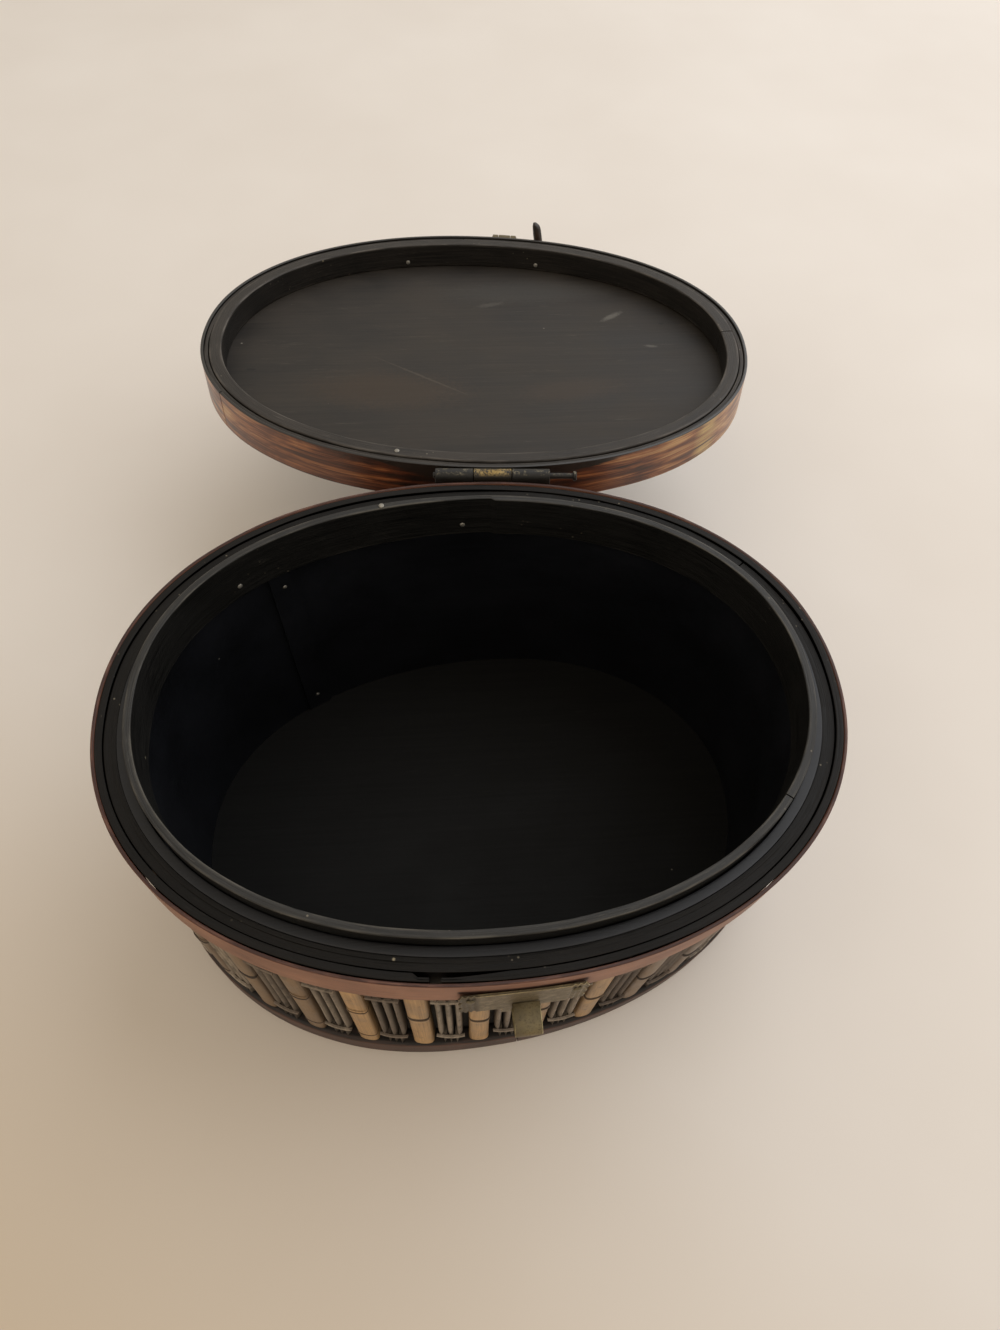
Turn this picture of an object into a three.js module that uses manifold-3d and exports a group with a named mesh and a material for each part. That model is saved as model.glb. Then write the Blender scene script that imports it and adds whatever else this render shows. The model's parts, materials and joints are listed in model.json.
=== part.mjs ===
// Oval storage box: bent-wood walls dressed with split bamboo and small fret panels,
// a lid on a brass butt hinge, standing open past flat behind the box, and a hasp and staple.
// Millimetres, +Z up. The origin is the centre of the underside and the latch faces -Y.

import * as THREE from 'three';
import { mergeVertices } from 'three/addons/utils/BufferGeometryUtils.js';
import Module from 'manifold-3d';

const wasm = await Module();
wasm.setup();

// The oval, measured over the rim band
const HALF_LENGTH = 130;
const HALF_WIDTH = 99;
const OVAL_POWER = 2.12;
const OUTLINE_STEPS = 1440;
const RING_STEPS = 56;
const sliverShare = 0.1;

// The walls lean in towards the foot, and the hand-bent foot is a little out of true
const RIM_HEIGHT = 116;
const FOOT_INSET = 4;
const FOOT_SKEW = 3.8;

// Clearances
const FIT = 0.3;
const OVERRUN = 1;
const JOINT_GAP = 0.6;

// Body, from the outside in: the thickness of each bent strip
const RIM_BAND_THICK = 1.2;
const RIM_BAND_HEIGHT = 18;
const OUTER_LEDGE_THICK = 2.6;
const INNER_LEDGE_THICK = 2.6;
const INNER_LEDGE_DROP = 0.7;
const BACKING_THICK = 1.2;
const BACKING_DROP = 0.5;
const WALL_THICK = 3.3;
const LIP_THICK = 2.8;
const LIP_RISE = 6.2;
const LIP_HEIGHT = 20;
const LEDGE_JOINT = 3.6;
const LEDGE_JOINT_PLACE = -17;
const innerLedgeJointShare = 1 / 3;
const lipJointShare = 1 / 6;
const BASE_THICK = 6;
const BASE_BAND_HEIGHT = 14;
const BASE_JOINT_PLACE = 12;

// Seam batten on the inside of the back wall
const BATTEN_WIDTH = 13;
const BATTEN_THICK = 0.9;
const BATTEN_PLACE = -283;

// Bamboo pillars and fret panels between the base band and the rim band
const PAIR_COUNT = 34;
const PAIRS_PER_MAT = 2;
const MAT_THICK = 0.8;
const MAT_MARGIN = 1;
const matEdgeShare = 0.25;
const PILLAR_PLACE = -3.5;
const PILLAR_WIDTH = 8;
const PILLAR_RECESS = 1.3;
const PILLAR_FOOT = 5;
const PILLAR_SWELL = 0.5;
const PANEL_WIDTH = 11;
const PANEL_RECESS = 1.9;
const PANEL_DROP = 12.4;
const PANEL_SAG = 1.6;
const RAIL_HEIGHT = 5;
const ROD_COUNT = 3;
const ROD_WIDTH = 2.8;

// Lid: a shallow tray of bent strips round a board
const OPEN_ANGLE = THREE.MathUtils.degToRad(187.5);
const LID_INSET = 2;
const LID_DEPTH = 18;
const LID_RECESS = 12;
const LID_BAND_THICK = 1.4;
const MIDDLE_THICK = 1.8;
const MIDDLE_DROP = 0.8;
const LIP_CLEARANCE = 0.7;
const BOARD_REVEAL = 0.4;
const LID_BAND_JOINT_PLACE = 242;
const LID_HOOP_JOINT_PLACE = 84;
const middleJointShare = 0.25;

// Hinge at the back, a little right of the middle
const HINGE_PLACE = 13;
const HINGE_OFFSET = 3.5;
const HINGE_LENGTH = 46.6;
const LEAF_HEIGHT = 14;
const LEAF_THICK = 0.8;
const leafNailShare = 0.65;
const BARREL_RADIUS = 2.75;
const PIN_RADIUS = 1.2;
const PIN_CLEARANCE = 0.25;
const PIN_TAIL = 10;
const PIN_STUB = 0.8;
const PIN_RING_RADIUS = 2;
const PIN_RING_LENGTH = 1.6;
const KNUCKLE_COUNT = 3;
const WEB_THICK = 1;
const ROUND_SIDES = 16;

// Lock plate and staple on the front of the body
const LATCH_PLACE = 9.8;
const LOCK_PLATE_WIDTH = 40.5;
const LOCK_PLATE_HEIGHT = 24;
const LOCK_PLATE_DROP = 8;
const PLATE_THICK = 0.9;
const SCALLOP_COUNT = 3;
const LOBE_THICK_SHARE = 0.8;
const LOBE_SIDES = 10;
const SCALLOP_DEPTH = 1.2;
const PLATE_STEPS = 8;
const TAB_WIDTH = 13;
const TAB_HEIGHT = 4;
const STAPLE_SHIFT = 0.9;
const STAPLE_WIDTH = 8.8;
const STAPLE_REACH = 9.6;
const STAPLE_EYE = 5;
const STAPLE_THICK = 1;
const STAPLE_SIDES = 8;
const STAPLE_DROP = 26;

// Lid plate, hasp and hasp pin on the front of the lid
const LID_PLATE_WIDTH = 25;
const LID_PLATE_HEIGHT = 13;
const LID_PLATE_RISE = 1;
const HASP_AXIS_RISE = 3.2;
const HASP_AXIS_OFFSET = 2.3;
const HASP_BARREL_RADIUS = 2;
const HASP_PIN_RADIUS = 0.8;
const HASP_KNUCKLE = 6.4;
const HASP_LUG = 3;
const HASP_WIDTH = 16;
const HASP_THICK = 1;
const HASP_TIP = 4.2;
const HASP_SLOT_SIDE = 1.6;
const HASP_SLOT_PLAY = 0.6;
const HASP_NECK = 6;

// Lock peg, kept in an eye on the lid beside the lid plate
const PEG_PLACE = 28;
const PEG_LENGTH = 30;
const PEG_TIP_RADIUS = 2.2;
const PEG_EYE_RADIUS = 2.6;
const PEG_HEAD_RADIUS = 3.3;
const PEG_TIP_REACH = 6;
const PEG_TIP_LENGTH = 3;
const PEG_AXIS_OFFSET = 5.2;
const PEG_FIT = 0.12;
const pegPointShare = 0.5;
const EYE_HEIGHT = 5;
const EYE_WALL = 1.1;
const EYE_RISE = 9;
const EYE_FOOT_WIDTH = 10;

// Nails: head radius, head height, shank radius, shank length
const PLATE_NAIL = { head: 1.5, rise: 0.6, shank: 0.55, length: 3.4 };
const HOOP_NAIL = { head: 1.1, rise: 0.4, shank: 0.5, length: 4.2 };
const BATTEN_NAIL = { head: 0.9, rise: 0.35, shank: 0.4, length: 2.6 };
const NAIL_SIDES = 6;
const NAIL_PLAY = 0.2;
const NAIL_SEAT = 0.25;
const nailCrownShare = 0.6;
const LIP_NAIL_DEPTH = 14;
const lipNailShares = [0.5, 0.64];
const LID_NAIL_RISE = 9;
const lidNailShares = [0.04, 0.94, 0.3, 0.62];
const BATTEN_NAIL_DEPTH = 9;
const hingeNailShare = 0.34;
const LOCK_NAIL_SPREAD = 16.5;
const LID_PLATE_NAIL_SPREAD = 9.4;

const material = {
  bamboo: new THREE.MeshStandardMaterial({ color: 0xc9a877, roughness: 0.55 }),
  rimBand: new THREE.MeshStandardMaterial({ color: 0xa5705f, roughness: 0.55 }),
  baseBand: new THREE.MeshStandardMaterial({ color: 0x5a3a34, roughness: 0.6 }),
  blackWood: new THREE.MeshStandardMaterial({ color: 0x2b2a28, roughness: 0.6 }),
  darkWood: new THREE.MeshStandardMaterial({ color: 0x2f2a26, roughness: 0.7 }),
  scorched: new THREE.MeshStandardMaterial({ color: 0x8a4a28, roughness: 0.45 }),
  brass: new THREE.MeshStandardMaterial({ color: 0x8c8468, roughness: 0.45, metalness: 0.8 }),
  iron: new THREE.MeshStandardMaterial({ color: 0x3a3733, roughness: 0.5, metalness: 0.7 }),
};

// The oval as a table of angle against distance run, counter-clockwise from the front
function ovalPoint(angle) {
  const c = Math.cos(angle), s = Math.sin(angle), share = 2 / OVAL_POWER;
  return new THREE.Vector2(
    HALF_LENGTH * Math.sign(c) * Math.abs(c) ** share,
    HALF_WIDTH * Math.sign(s) * Math.abs(s) ** share);
}

const outlineTable = [{ angle: -Math.PI / 2, run: 0 }];
for (let i = 1; i <= OUTLINE_STEPS; i++) {
  const last = outlineTable[i - 1];
  const angle = -Math.PI / 2 + (2 * Math.PI * i) / OUTLINE_STEPS;
  outlineTable.push({ angle, run: last.run + ovalPoint(angle).distanceTo(ovalPoint(last.angle)) });
}
const PERIMETER = outlineTable[OUTLINE_STEPS].run;

// The point of the oval at a distance run from the front, with its outward normal
function outlineAt(run) {
  const wrapped = THREE.MathUtils.euclideanModulo(run, PERIMETER);
  let low = 0, high = OUTLINE_STEPS;
  while (high - low > 1) {
    const middle = (low + high) >> 1;
    if (outlineTable[middle].run <= wrapped) low = middle; else high = middle;
  }
  const a = outlineTable[low], b = outlineTable[high];
  const share = (wrapped - a.run) / (b.run - a.run);
  const point = ovalPoint(THREE.MathUtils.lerp(a.angle, b.angle, share));
  const slope = (value, half) => (Math.sign(value) * Math.abs(value / half) ** (OVAL_POWER - 1)) / half;
  const normal = new THREE.Vector2(slope(point.x, HALF_LENGTH), slope(point.y, HALF_WIDTH)).normalize();
  return { point, normal };
}

// A point at a distance run, an offset outward of the rim band's face, and a height
function wallPoint(run, offset, z) {
  const { point, normal } = outlineAt(run);
  const around = 2 * Math.atan2(point.y, point.x);
  const lean = (FOOT_SKEW * Math.sin(around) - FOOT_INSET) * Math.max(0, 1 - z / RIM_HEIGHT);
  return new THREE.Vector3(point.x + normal.x * (offset + lean), point.y + normal.y * (offset + lean), z);
}

// A frame on the wall: X runs on round the oval, -Y points outward, Z is up
function wallFrame(run, offset, z) {
  const { normal } = outlineAt(run);
  const heading = Math.atan2(normal.y, normal.x) + Math.PI / 2;
  const origin = wallPoint(run, offset, z);
  return new THREE.Matrix4().makeRotationZ(heading).setPosition(origin);
}

function solid(points, faces) {
  const geometry = new THREE.BufferGeometry();
  geometry.setAttribute('position', new THREE.Float32BufferAttribute(points.flatMap((p) => p.toArray()), 3));
  geometry.setIndex(faces);
  return geometry;
}

// Carries a section of [offset, z] corners along the wall through a list of distances.
// The corners go outer low, outer high, inner high, inner low. Every side face is split along
// the same diagonal, so that neighbouring strips keep their gap where the wall twists.
function carry(section, runs, whole) {
  const points = [], faces = [], size = section.length;
  for (const run of runs) for (const [offset, z] of section) points.push(wallPoint(run, offset, z));
  const spans = whole ? runs.length : runs.length - 1;
  for (let i = 0; i < spans; i++) {
    const next = (i + 1) % runs.length;
    for (let j = 0; j < size; j++) {
      const k = (j + 1) % size;
      const a = i * size + j, b = next * size + j, c = next * size + k, d = i * size + k;
      if (section[k][1] < section[j][1]) faces.push(a, b, d, b, c, d);
      else faces.push(a, b, c, a, c, d);
    }
  }
  if (!whole) {
    const last = (runs.length - 1) * size;
    for (let j = 1; j < size - 1; j++) {
      faces.push(0, j, j + 1);
      faces.push(last, last + j + 1, last + j);
    }
  }
  return solid(points, faces);
}

// The section carried right round, or from one distance to another
function sweep(section, from, to) {
  const step = PERIMETER / RING_STEPS;
  const runs = [];
  if (from === undefined) {
    for (let i = 0; i < RING_STEPS; i++) runs.push(i * step);
    return carry(section, runs, true);
  }
  runs.push(from);
  for (let k = Math.ceil(from / step); k * step < to; k++) {
    if (Math.min(k * step - from, to - k * step) > step * sliverShare) runs.push(k * step);
  }
  runs.push(to);
  return carry(section, runs, false);
}

function stripSection(outer, inner, low, high) {
  return [[outer, low], [outer, high], [inner, high], [inner, low]];
}

// A strip bent right round with its ends meeting at a small joint
function splitHoop(outer, inner, low, high, joint, gap = JOINT_GAP) {
  return sweep(stripSection(outer, inner, low, high), joint + gap / 2, joint + PERIMETER - gap / 2);
}

// A flat oval board that fills the wall at one offset
function ovalBoard(offset, low, high) {
  const corners = [];
  for (let i = 0; i < RING_STEPS; i++) {
    const p = wallPoint((i * PERIMETER) / RING_STEPS, offset, (low + high) / 2);
    corners.push(new THREE.Vector2(p.x, p.y));
  }
  const shape = new THREE.Shape(corners);
  const geometry = new THREE.ExtrudeGeometry(shape, { depth: high - low, bevelEnabled: false });
  return geometry.translate(0, 0, low);
}

// Bends a flat shape drawn as (distance run, height) onto the wall between two offsets
function bentPlate(shape, run, z, inner, outer) {
  const geometry = bare(new THREE.ExtrudeGeometry(shape, { depth: 1, bevelEnabled: false }));
  const position = geometry.getAttribute('position');
  for (let i = 0; i < position.count; i++) {
    const offset = THREE.MathUtils.lerp(outer, inner, position.getZ(i));
    const p = wallPoint(run + position.getX(i), offset, z + position.getY(i));
    position.setXYZ(i, p.x, p.y, p.z);
  }
  return flip(geometry);
}

function polygon(corners) {
  return new THREE.Shape(corners.map(([x, y]) => new THREE.Vector2(x, y)));
}

function bare(geometry) {
  geometry.deleteAttribute('normal');
  geometry.deleteAttribute('uv');
  return mergeVertices(geometry);
}

function flip(geometry) {
  const index = geometry.getIndex();
  for (let i = 0; i < index.count; i += 3) {
    const kept = index.getX(i);
    index.setX(i, index.getX(i + 1));
    index.setX(i + 1, kept);
  }
  return geometry;
}

function toManifold(geometry) {
  const merged = bare(geometry.clone());
  return new wasm.Manifold(new wasm.Mesh({
    numProp: 3,
    vertProperties: new Float32Array(merged.getAttribute('position').array),
    triVerts: new Uint32Array(merged.getIndex().array),
  }));
}

function fromManifold(body) {
  const mesh = body.getMesh();
  const geometry = new THREE.BufferGeometry();
  geometry.setAttribute('position', new THREE.Float32BufferAttribute(mesh.vertProperties, 3));
  geometry.setIndex(Array.from(mesh.triVerts));
  return geometry;
}

function join(...geometries) {
  return fromManifold(geometries.map(toManifold).reduce((sum, next) => sum.add(next)));
}

function cut(geometry, ...tools) {
  const whole = toManifold(geometry);
  return fromManifold(tools.map(toManifold).reduce((rest, next) => rest.subtract(next), whole));
}

function box(low, high) {
  const size = new THREE.Vector3().subVectors(high, low);
  const centre = new THREE.Vector3().addVectors(low, high).multiplyScalar(0.5);
  return new THREE.BoxGeometry(size.x, size.y, size.z).translate(centre.x, centre.y, centre.z);
}

// A round bar along X between two places
function barX(radius, from, to, sides = ROUND_SIDES) {
  const bar = new THREE.CylinderGeometry(radius, radius, to - from, sides).rotateZ(-Math.PI / 2);
  return bar.translate((from + to) / 2, 0, 0);
}

// A nail through a wall frame's origin: its head lies on the -Y side and its shank runs along +Y
function nail(size, frame) {
  const profile = [
    new THREE.Vector2(0, -size.length),
    new THREE.Vector2(size.shank, -size.length),
    new THREE.Vector2(size.shank, 0),
    new THREE.Vector2(size.head, 0),
    new THREE.Vector2(size.head * nailCrownShare, size.rise),
    new THREE.Vector2(0, size.rise),
  ];
  return new THREE.LatheGeometry(profile, NAIL_SIDES).rotateX(Math.PI).applyMatrix4(frame);
}

// The hole for that nail's shank
function nailHole(size, frame) {
  const length = size.length + NAIL_PLAY + OVERRUN;
  const radius = size.shank + NAIL_PLAY;
  const hole = new THREE.CylinderGeometry(radius, radius, length, NAIL_SIDES);
  return hole.translate(0, length / 2 - OVERRUN, 0).applyMatrix4(frame);
}

// Turns a wall frame about its Z axis, so that the nail is driven outward from the inside
function facingIn(frame) {
  return frame.clone().multiply(new THREE.Matrix4().makeRotationZ(Math.PI));
}

const object = new THREE.Group();
const body = new THREE.Group();
object.add(body);

function add(parent, name, geometry, look) {
  const mesh = new THREE.Mesh(geometry, look);
  mesh.name = name;
  parent.add(mesh);
  return mesh;
}

function addNails(parent, name, size, frames, look) {
  frames.forEach((frame, i) => add(parent, `${name}_${i + 1}`, nail(size, frame), look));
}

// Offsets of the body's strips, outward of the rim band's face
const rimBandIn = -RIM_BAND_THICK;
const outerLedgeOut = rimBandIn - FIT;
const outerLedgeIn = outerLedgeOut - OUTER_LEDGE_THICK;
const innerLedgeOut = outerLedgeIn - FIT;
const innerLedgeIn = innerLedgeOut - INNER_LEDGE_THICK;
const backingOut = innerLedgeIn - FIT;
const backingIn = backingOut - BACKING_THICK;
const wallOut = backingIn - FIT;
const wallIn = wallOut - WALL_THICK;
const lipOut = wallIn - FIT;
const lipIn = lipOut - LIP_THICK;
const slatBack = innerLedgeIn;
const rimBandLow = RIM_HEIGHT - RIM_BAND_HEIGHT;
const lipLow = RIM_HEIGHT + LIP_RISE - LIP_HEIGHT;

// Frames of the nails
const hingeRun = PERIMETER / 2 - HINGE_PLACE;
const hingeFace = wallFrame(hingeRun, 0, RIM_HEIGHT);
const lidBase = RIM_HEIGHT + FIT;

function spread(frame, x, y, z) {
  return frame.clone().multiply(new THREE.Matrix4().makeTranslation(x, y, z));
}

const hingeNailSpread = HINGE_LENGTH * hingeNailShare;
const hingeNailFrames = [-1, 1].map((side) =>
  spread(hingeFace, side * hingeNailSpread, -FIT - LEAF_THICK - NAIL_SEAT, -LEAF_HEIGHT * leafNailShare));
const lockPlateTop = RIM_HEIGHT - LOCK_PLATE_DROP;
const lockPlateLow = lockPlateTop - LOCK_PLATE_HEIGHT;
const lockNailHeight = (lockPlateTop + Math.max(rimBandLow, lockPlateLow)) / 2;
const lockNailFrames = [-1, 1].map((side) =>
  wallFrame(LATCH_PLACE + side * LOCK_NAIL_SPREAD, FIT + PLATE_THICK + NAIL_SEAT, lockNailHeight));
const lipNailFrames = lipNailShares.map((share) =>
  facingIn(wallFrame(share * PERIMETER, lipIn - NAIL_SEAT, RIM_HEIGHT + LIP_RISE - LIP_NAIL_DEPTH)));
const battenRun = PERIMETER + BATTEN_PLACE;
const battenLow = BASE_THICK + FIT;
const battenHigh = lipLow - FIT;
const battenIn = wallIn - FIT - BATTEN_THICK;
const battenNailFrames = [battenLow + BATTEN_NAIL_DEPTH, battenHigh - BATTEN_NAIL_DEPTH].map((z) =>
  facingIn(wallFrame(battenRun, battenIn - NAIL_SEAT, z)));

// Base: a board, and the moulding that runs round its edge
add(body, 'base_board', ovalBoard(backingOut, 0, BASE_THICK), material.darkWood);
add(body, 'base_band', splitHoop(0, slatBack, 0, BASE_BAND_HEIGHT, BASE_JOINT_PLACE), material.baseBand);

// Walls: the bent inner wall and the dark skin that carries the slats
const wall = sweep(stripSection(wallOut, wallIn, BASE_THICK, RIM_HEIGHT));
const wallNailHoles = [
  ...lipNailFrames.map((frame) => nailHole(HOOP_NAIL, frame)),
  ...battenNailFrames.map((frame) => nailHole(BATTEN_NAIL, frame)),
];
add(body, 'inner_wall', cut(wall, ...wallNailHoles), material.blackWood);
const backing = sweep(stripSection(backingOut, backingIn, BASE_THICK, RIM_HEIGHT - BACKING_DROP));
add(body, 'backing_wall', backing, material.darkWood);

// Seam batten inside the back wall
const batten = sweep(
  stripSection(wallIn - FIT, battenIn, battenLow, battenHigh),
  battenRun - BATTEN_WIDTH / 2, battenRun + BATTEN_WIDTH / 2);
const battenHoles = battenNailFrames.map((frame) => nailHole(BATTEN_NAIL, frame));
add(body, 'seam_batten', cut(batten, ...battenHoles), material.darkWood);
addNails(body, 'batten_nail', BATTEN_NAIL, battenNailFrames, material.iron);

// Rim: the reddish band, two ledge strips under the lid, and the raised lip inside
const faceNailHoles = [
  ...hingeNailFrames.map((frame) => nailHole(PLATE_NAIL, frame)),
  ...lockNailFrames.map((frame) => nailHole(PLATE_NAIL, frame)),
];
const rimBand = sweep(stripSection(0, rimBandIn, rimBandLow, RIM_HEIGHT));
add(body, 'rim_band', cut(rimBand, ...faceNailHoles), material.rimBand);
const outerLedge = splitHoop(
  outerLedgeOut, outerLedgeIn, rimBandLow, RIM_HEIGHT, LEDGE_JOINT_PLACE, LEDGE_JOINT);
add(body, 'ledge_hoop_outer', cut(outerLedge, ...faceNailHoles), material.blackWood);
const innerLedgeTop = RIM_HEIGHT - INNER_LEDGE_DROP;
const innerLedge = splitHoop(innerLedgeOut, innerLedgeIn, rimBandLow, innerLedgeTop,
  innerLedgeJointShare * PERIMETER);
add(body, 'ledge_hoop_inner', innerLedge, material.blackWood);
const lip = splitHoop(lipOut, lipIn, lipLow, RIM_HEIGHT + LIP_RISE, lipJointShare * PERIMETER);
const lipHoles = lipNailFrames.map((frame) => nailHole(HOOP_NAIL, frame));
add(body, 'rim_lip_hoop', cut(lip, ...lipHoles), material.blackWood);
addNails(body, 'lip_nail', HOOP_NAIL, lipNailFrames, material.iron);

// One bamboo pillar: a half-round strip with a swollen foot
function pillar(run) {
  const levels = [[slatLow, PILLAR_SWELL], [slatLow + PILLAR_FOOT, 0], [slatHigh, 0]];
  const back = slatBack + MAT_THICK / 2;
  const arcShares = [-1, -0.75, 0, 0.75, 1];
  const points = [], faces = [];
  for (const [z, swell] of levels) {
    for (const share of arcShares) {
      const rise = Math.sqrt(1 - share * share);
      const crest = back + (-PILLAR_RECESS + swell - back) * rise;
      points.push(wallPoint(run + (share * PILLAR_WIDTH) / 2, crest, z));
    }
  }
  const size = arcShares.length;
  for (let i = 0; i < levels.length - 1; i++) {
    for (let j = 0; j < size; j++) {
      const k = (j + 1) % size;
      const a = i * size + j, b = i * size + k, c = (i + 1) * size + k, d = (i + 1) * size + j;
      faces.push(a, b, c, a, c, d);
    }
  }
  const top = (levels.length - 1) * size;
  for (let j = 1; j < size - 1; j++) {
    faces.push(0, j + 1, j);
    faces.push(top, top + j, top + j + 1);
  }
  return solid(points, faces);
}

// One fret panel: two rails with upright rods between them, cut from one strip
function panel(run) {
  const half = PANEL_WIDTH / 2;
  const back = slatBack + MAT_THICK / 2;
  const outline = polygon([
    [-half, 0], [half, 0], [half, panelHeight], [0, panelHeight - PANEL_SAG], [-half, panelHeight],
  ]);
  const gap = (PANEL_WIDTH - ROD_COUNT * ROD_WIDTH) / (ROD_COUNT - 1);
  const slotTop = panelHeight - PANEL_SAG - RAIL_HEIGHT;
  const slots = [];
  for (let i = 0; i < ROD_COUNT - 1; i++) {
    const left = -half + ROD_WIDTH + i * (ROD_WIDTH + gap);
    const slot = polygon([
      [left, RAIL_HEIGHT], [left + gap, RAIL_HEIGHT], [left + gap, slotTop], [left, slotTop],
    ]);
    slots.push(bentPlate(slot, run, slatLow, back - OVERRUN, OVERRUN - PANEL_RECESS));
  }
  return cut(bentPlate(outline, run, slatLow, back, -PANEL_RECESS), ...slots);
}

// The slats are glued on strips of backing cloth: each mat holds a few pillars and panels
const pitch = PERIMETER / PAIR_COUNT;
const slatLow = BASE_BAND_HEIGHT + FIT;
const slatHigh = rimBandLow - FIT;
const panelHeight = slatHigh - PANEL_DROP - slatLow;

function mat(index) {
  const first = PILLAR_PLACE + index * PAIRS_PER_MAT * pitch;
  const from = first - pitch * matEdgeShare;
  const cloth = sweep(
    stripSection(slatBack + MAT_THICK, slatBack, slatLow + MAT_MARGIN, slatHigh - MAT_MARGIN),
    from + FIT / 2, from + PAIRS_PER_MAT * pitch - FIT / 2);
  const slats = [];
  for (let i = 0; i < PAIRS_PER_MAT; i++) {
    slats.push(pillar(first + i * pitch), panel(first + (i + 0.5) * pitch));
  }
  return join(cloth, ...slats);
}

for (let i = 0; i < PAIR_COUNT / PAIRS_PER_MAT; i++) {
  add(body, `slat_mat_${String(i + 1).padStart(2, '0')}`, mat(i), material.bamboo);
}

// Hinge, in a frame at the back of the rim: X along the barrel, -Y outward, Z up
const knuckle = HINGE_LENGTH / KNUCKLE_COUNT;
const pinHole = PIN_RADIUS + PIN_CLEARANCE;

function barrel(from, to) {
  return barX(BARREL_RADIUS, from + FIT / 2, to - FIT / 2).translate(0, -HINGE_OFFSET, 0);
}

function leafBox(from, to, yLow, yHigh, zLow, zHigh) {
  return box(new THREE.Vector3(from, yLow, zLow), new THREE.Vector3(to, yHigh, zHigh));
}

const barrelHole = barX(pinHole, -HINGE_LENGTH, HINGE_LENGTH).translate(0, -HINGE_OFFSET, 0);
const halfHinge = HINGE_LENGTH / 2;
const bodyLeaf = join(
  leafBox(-halfHinge, halfHinge, -FIT - LEAF_THICK, -FIT, -LEAF_HEIGHT, -BARREL_RADIUS - FIT),
  leafBox(-halfHinge + FIT / 2, -knuckle / 2 - FIT / 2, -FIT - LEAF_THICK, -FIT, -LEAF_HEIGHT / 2, 0),
  leafBox(knuckle / 2 + FIT / 2, halfHinge - FIT / 2, -FIT - LEAF_THICK, -FIT, -LEAF_HEIGHT / 2, 0),
  barrel(-halfHinge, -knuckle / 2),
  barrel(knuckle / 2, halfHinge));
const bodyLeafHoles = hingeNailFrames.map((frame) =>
  nailHole(PLATE_NAIL, hingeFace.clone().invert().multiply(frame)));
const boredBodyLeaf = cut(bodyLeaf, barrelHole, ...bodyLeafHoles);
add(body, 'hinge_body_leaf', boredBodyLeaf.applyMatrix4(hingeFace), material.brass);
addNails(body, 'hinge_body_nail', PLATE_NAIL, hingeNailFrames, material.brass);

const pinEnd = halfHinge + PIN_TAIL;
const pin = join(
  barX(PIN_RADIUS, -pinEnd, halfHinge + PIN_STUB),
  barX(PIN_RING_RADIUS, -pinEnd - PIN_RING_LENGTH / 2, -pinEnd + PIN_RING_LENGTH / 2));
add(body, 'hinge_pin', pin.translate(0, -HINGE_OFFSET, 0).applyMatrix4(hingeFace), material.iron);

// A brass bar bent to the wall, with round lobes along its two ends
function lobedBar(width, height, run, low, inner) {
  const outer = inner + PLATE_THICK;
  const straight = width - 2 * SCALLOP_DEPTH;
  const runs = [];
  for (let i = 0; i <= PLATE_STEPS; i++) runs.push(run + straight * (i / PLATE_STEPS - 0.5));
  const bar = carry(stripSection(outer, inner, low, low + height), runs, false);
  const lobe = height / SCALLOP_COUNT / 2;
  const lobes = [];
  for (const side of [-1, 1]) {
    for (let i = 0; i < SCALLOP_COUNT; i++) {
      const disc = new THREE.CylinderGeometry(lobe, lobe, PLATE_THICK * LOBE_THICK_SHARE, LOBE_SIDES);
      const place = run + side * (width / 2 - lobe);
      lobes.push(disc.applyMatrix4(wallFrame(place, inner + PLATE_THICK / 2, low + (2 * i + 1) * lobe)));
    }
  }
  return join(bar, ...lobes);
}

const plateOut = FIT + PLATE_THICK;
const lockBar = lobedBar(LOCK_PLATE_WIDTH, LOCK_PLATE_HEIGHT, LATCH_PLACE, lockPlateLow, FIT);
const lockTab = carry(
  stripSection(plateOut, FIT, lockPlateLow - TAB_HEIGHT, lockPlateLow + OVERRUN),
  [-0.5, 0, 0.5].map((share) => LATCH_PLACE + share * TAB_WIDTH), false);
const lockHoles = lockNailFrames.map((frame) => nailHole(PLATE_NAIL, frame));
add(body, 'lock_plate', cut(join(lockBar, lockTab), ...lockHoles), material.brass);
addNails(body, 'lock_plate_nail', PLATE_NAIL, lockNailFrames, material.brass);

// Staple: a strip bent into an eye that stands out of the plate, open left to right
function staple() {
  const outerRadius = STAPLE_EYE / 2 + STAPLE_THICK;
  const centre = STAPLE_REACH - outerRadius;
  const shape = new THREE.Shape();
  shape.moveTo(0, -outerRadius);
  for (let i = 0; i <= STAPLE_SIDES; i++) {
    const a = -Math.PI / 2 + (Math.PI * i) / STAPLE_SIDES;
    shape.lineTo(centre + outerRadius * Math.cos(a), outerRadius * Math.sin(a));
  }
  shape.lineTo(0, outerRadius);
  shape.lineTo(0, outerRadius - STAPLE_THICK);
  for (let i = 0; i <= STAPLE_SIDES; i++) {
    const a = Math.PI / 2 - (Math.PI * i) / STAPLE_SIDES;
    shape.lineTo(centre + (STAPLE_EYE / 2) * Math.cos(a), (STAPLE_EYE / 2) * Math.sin(a));
  }
  shape.lineTo(0, -outerRadius + STAPLE_THICK);
  const geometry = new THREE.ExtrudeGeometry(shape, { depth: STAPLE_WIDTH, bevelEnabled: false });
  return geometry.translate(0, 0, -STAPLE_WIDTH / 2).rotateX(Math.PI / 2).rotateZ(-Math.PI / 2);
}

const stapleHeight = RIM_HEIGHT - STAPLE_DROP;
const stapleFrame = wallFrame(LATCH_PLACE + STAPLE_SHIFT, plateOut + FIT, stapleHeight);
add(body, 'lock_staple', staple().applyMatrix4(stapleFrame), material.brass);

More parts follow.
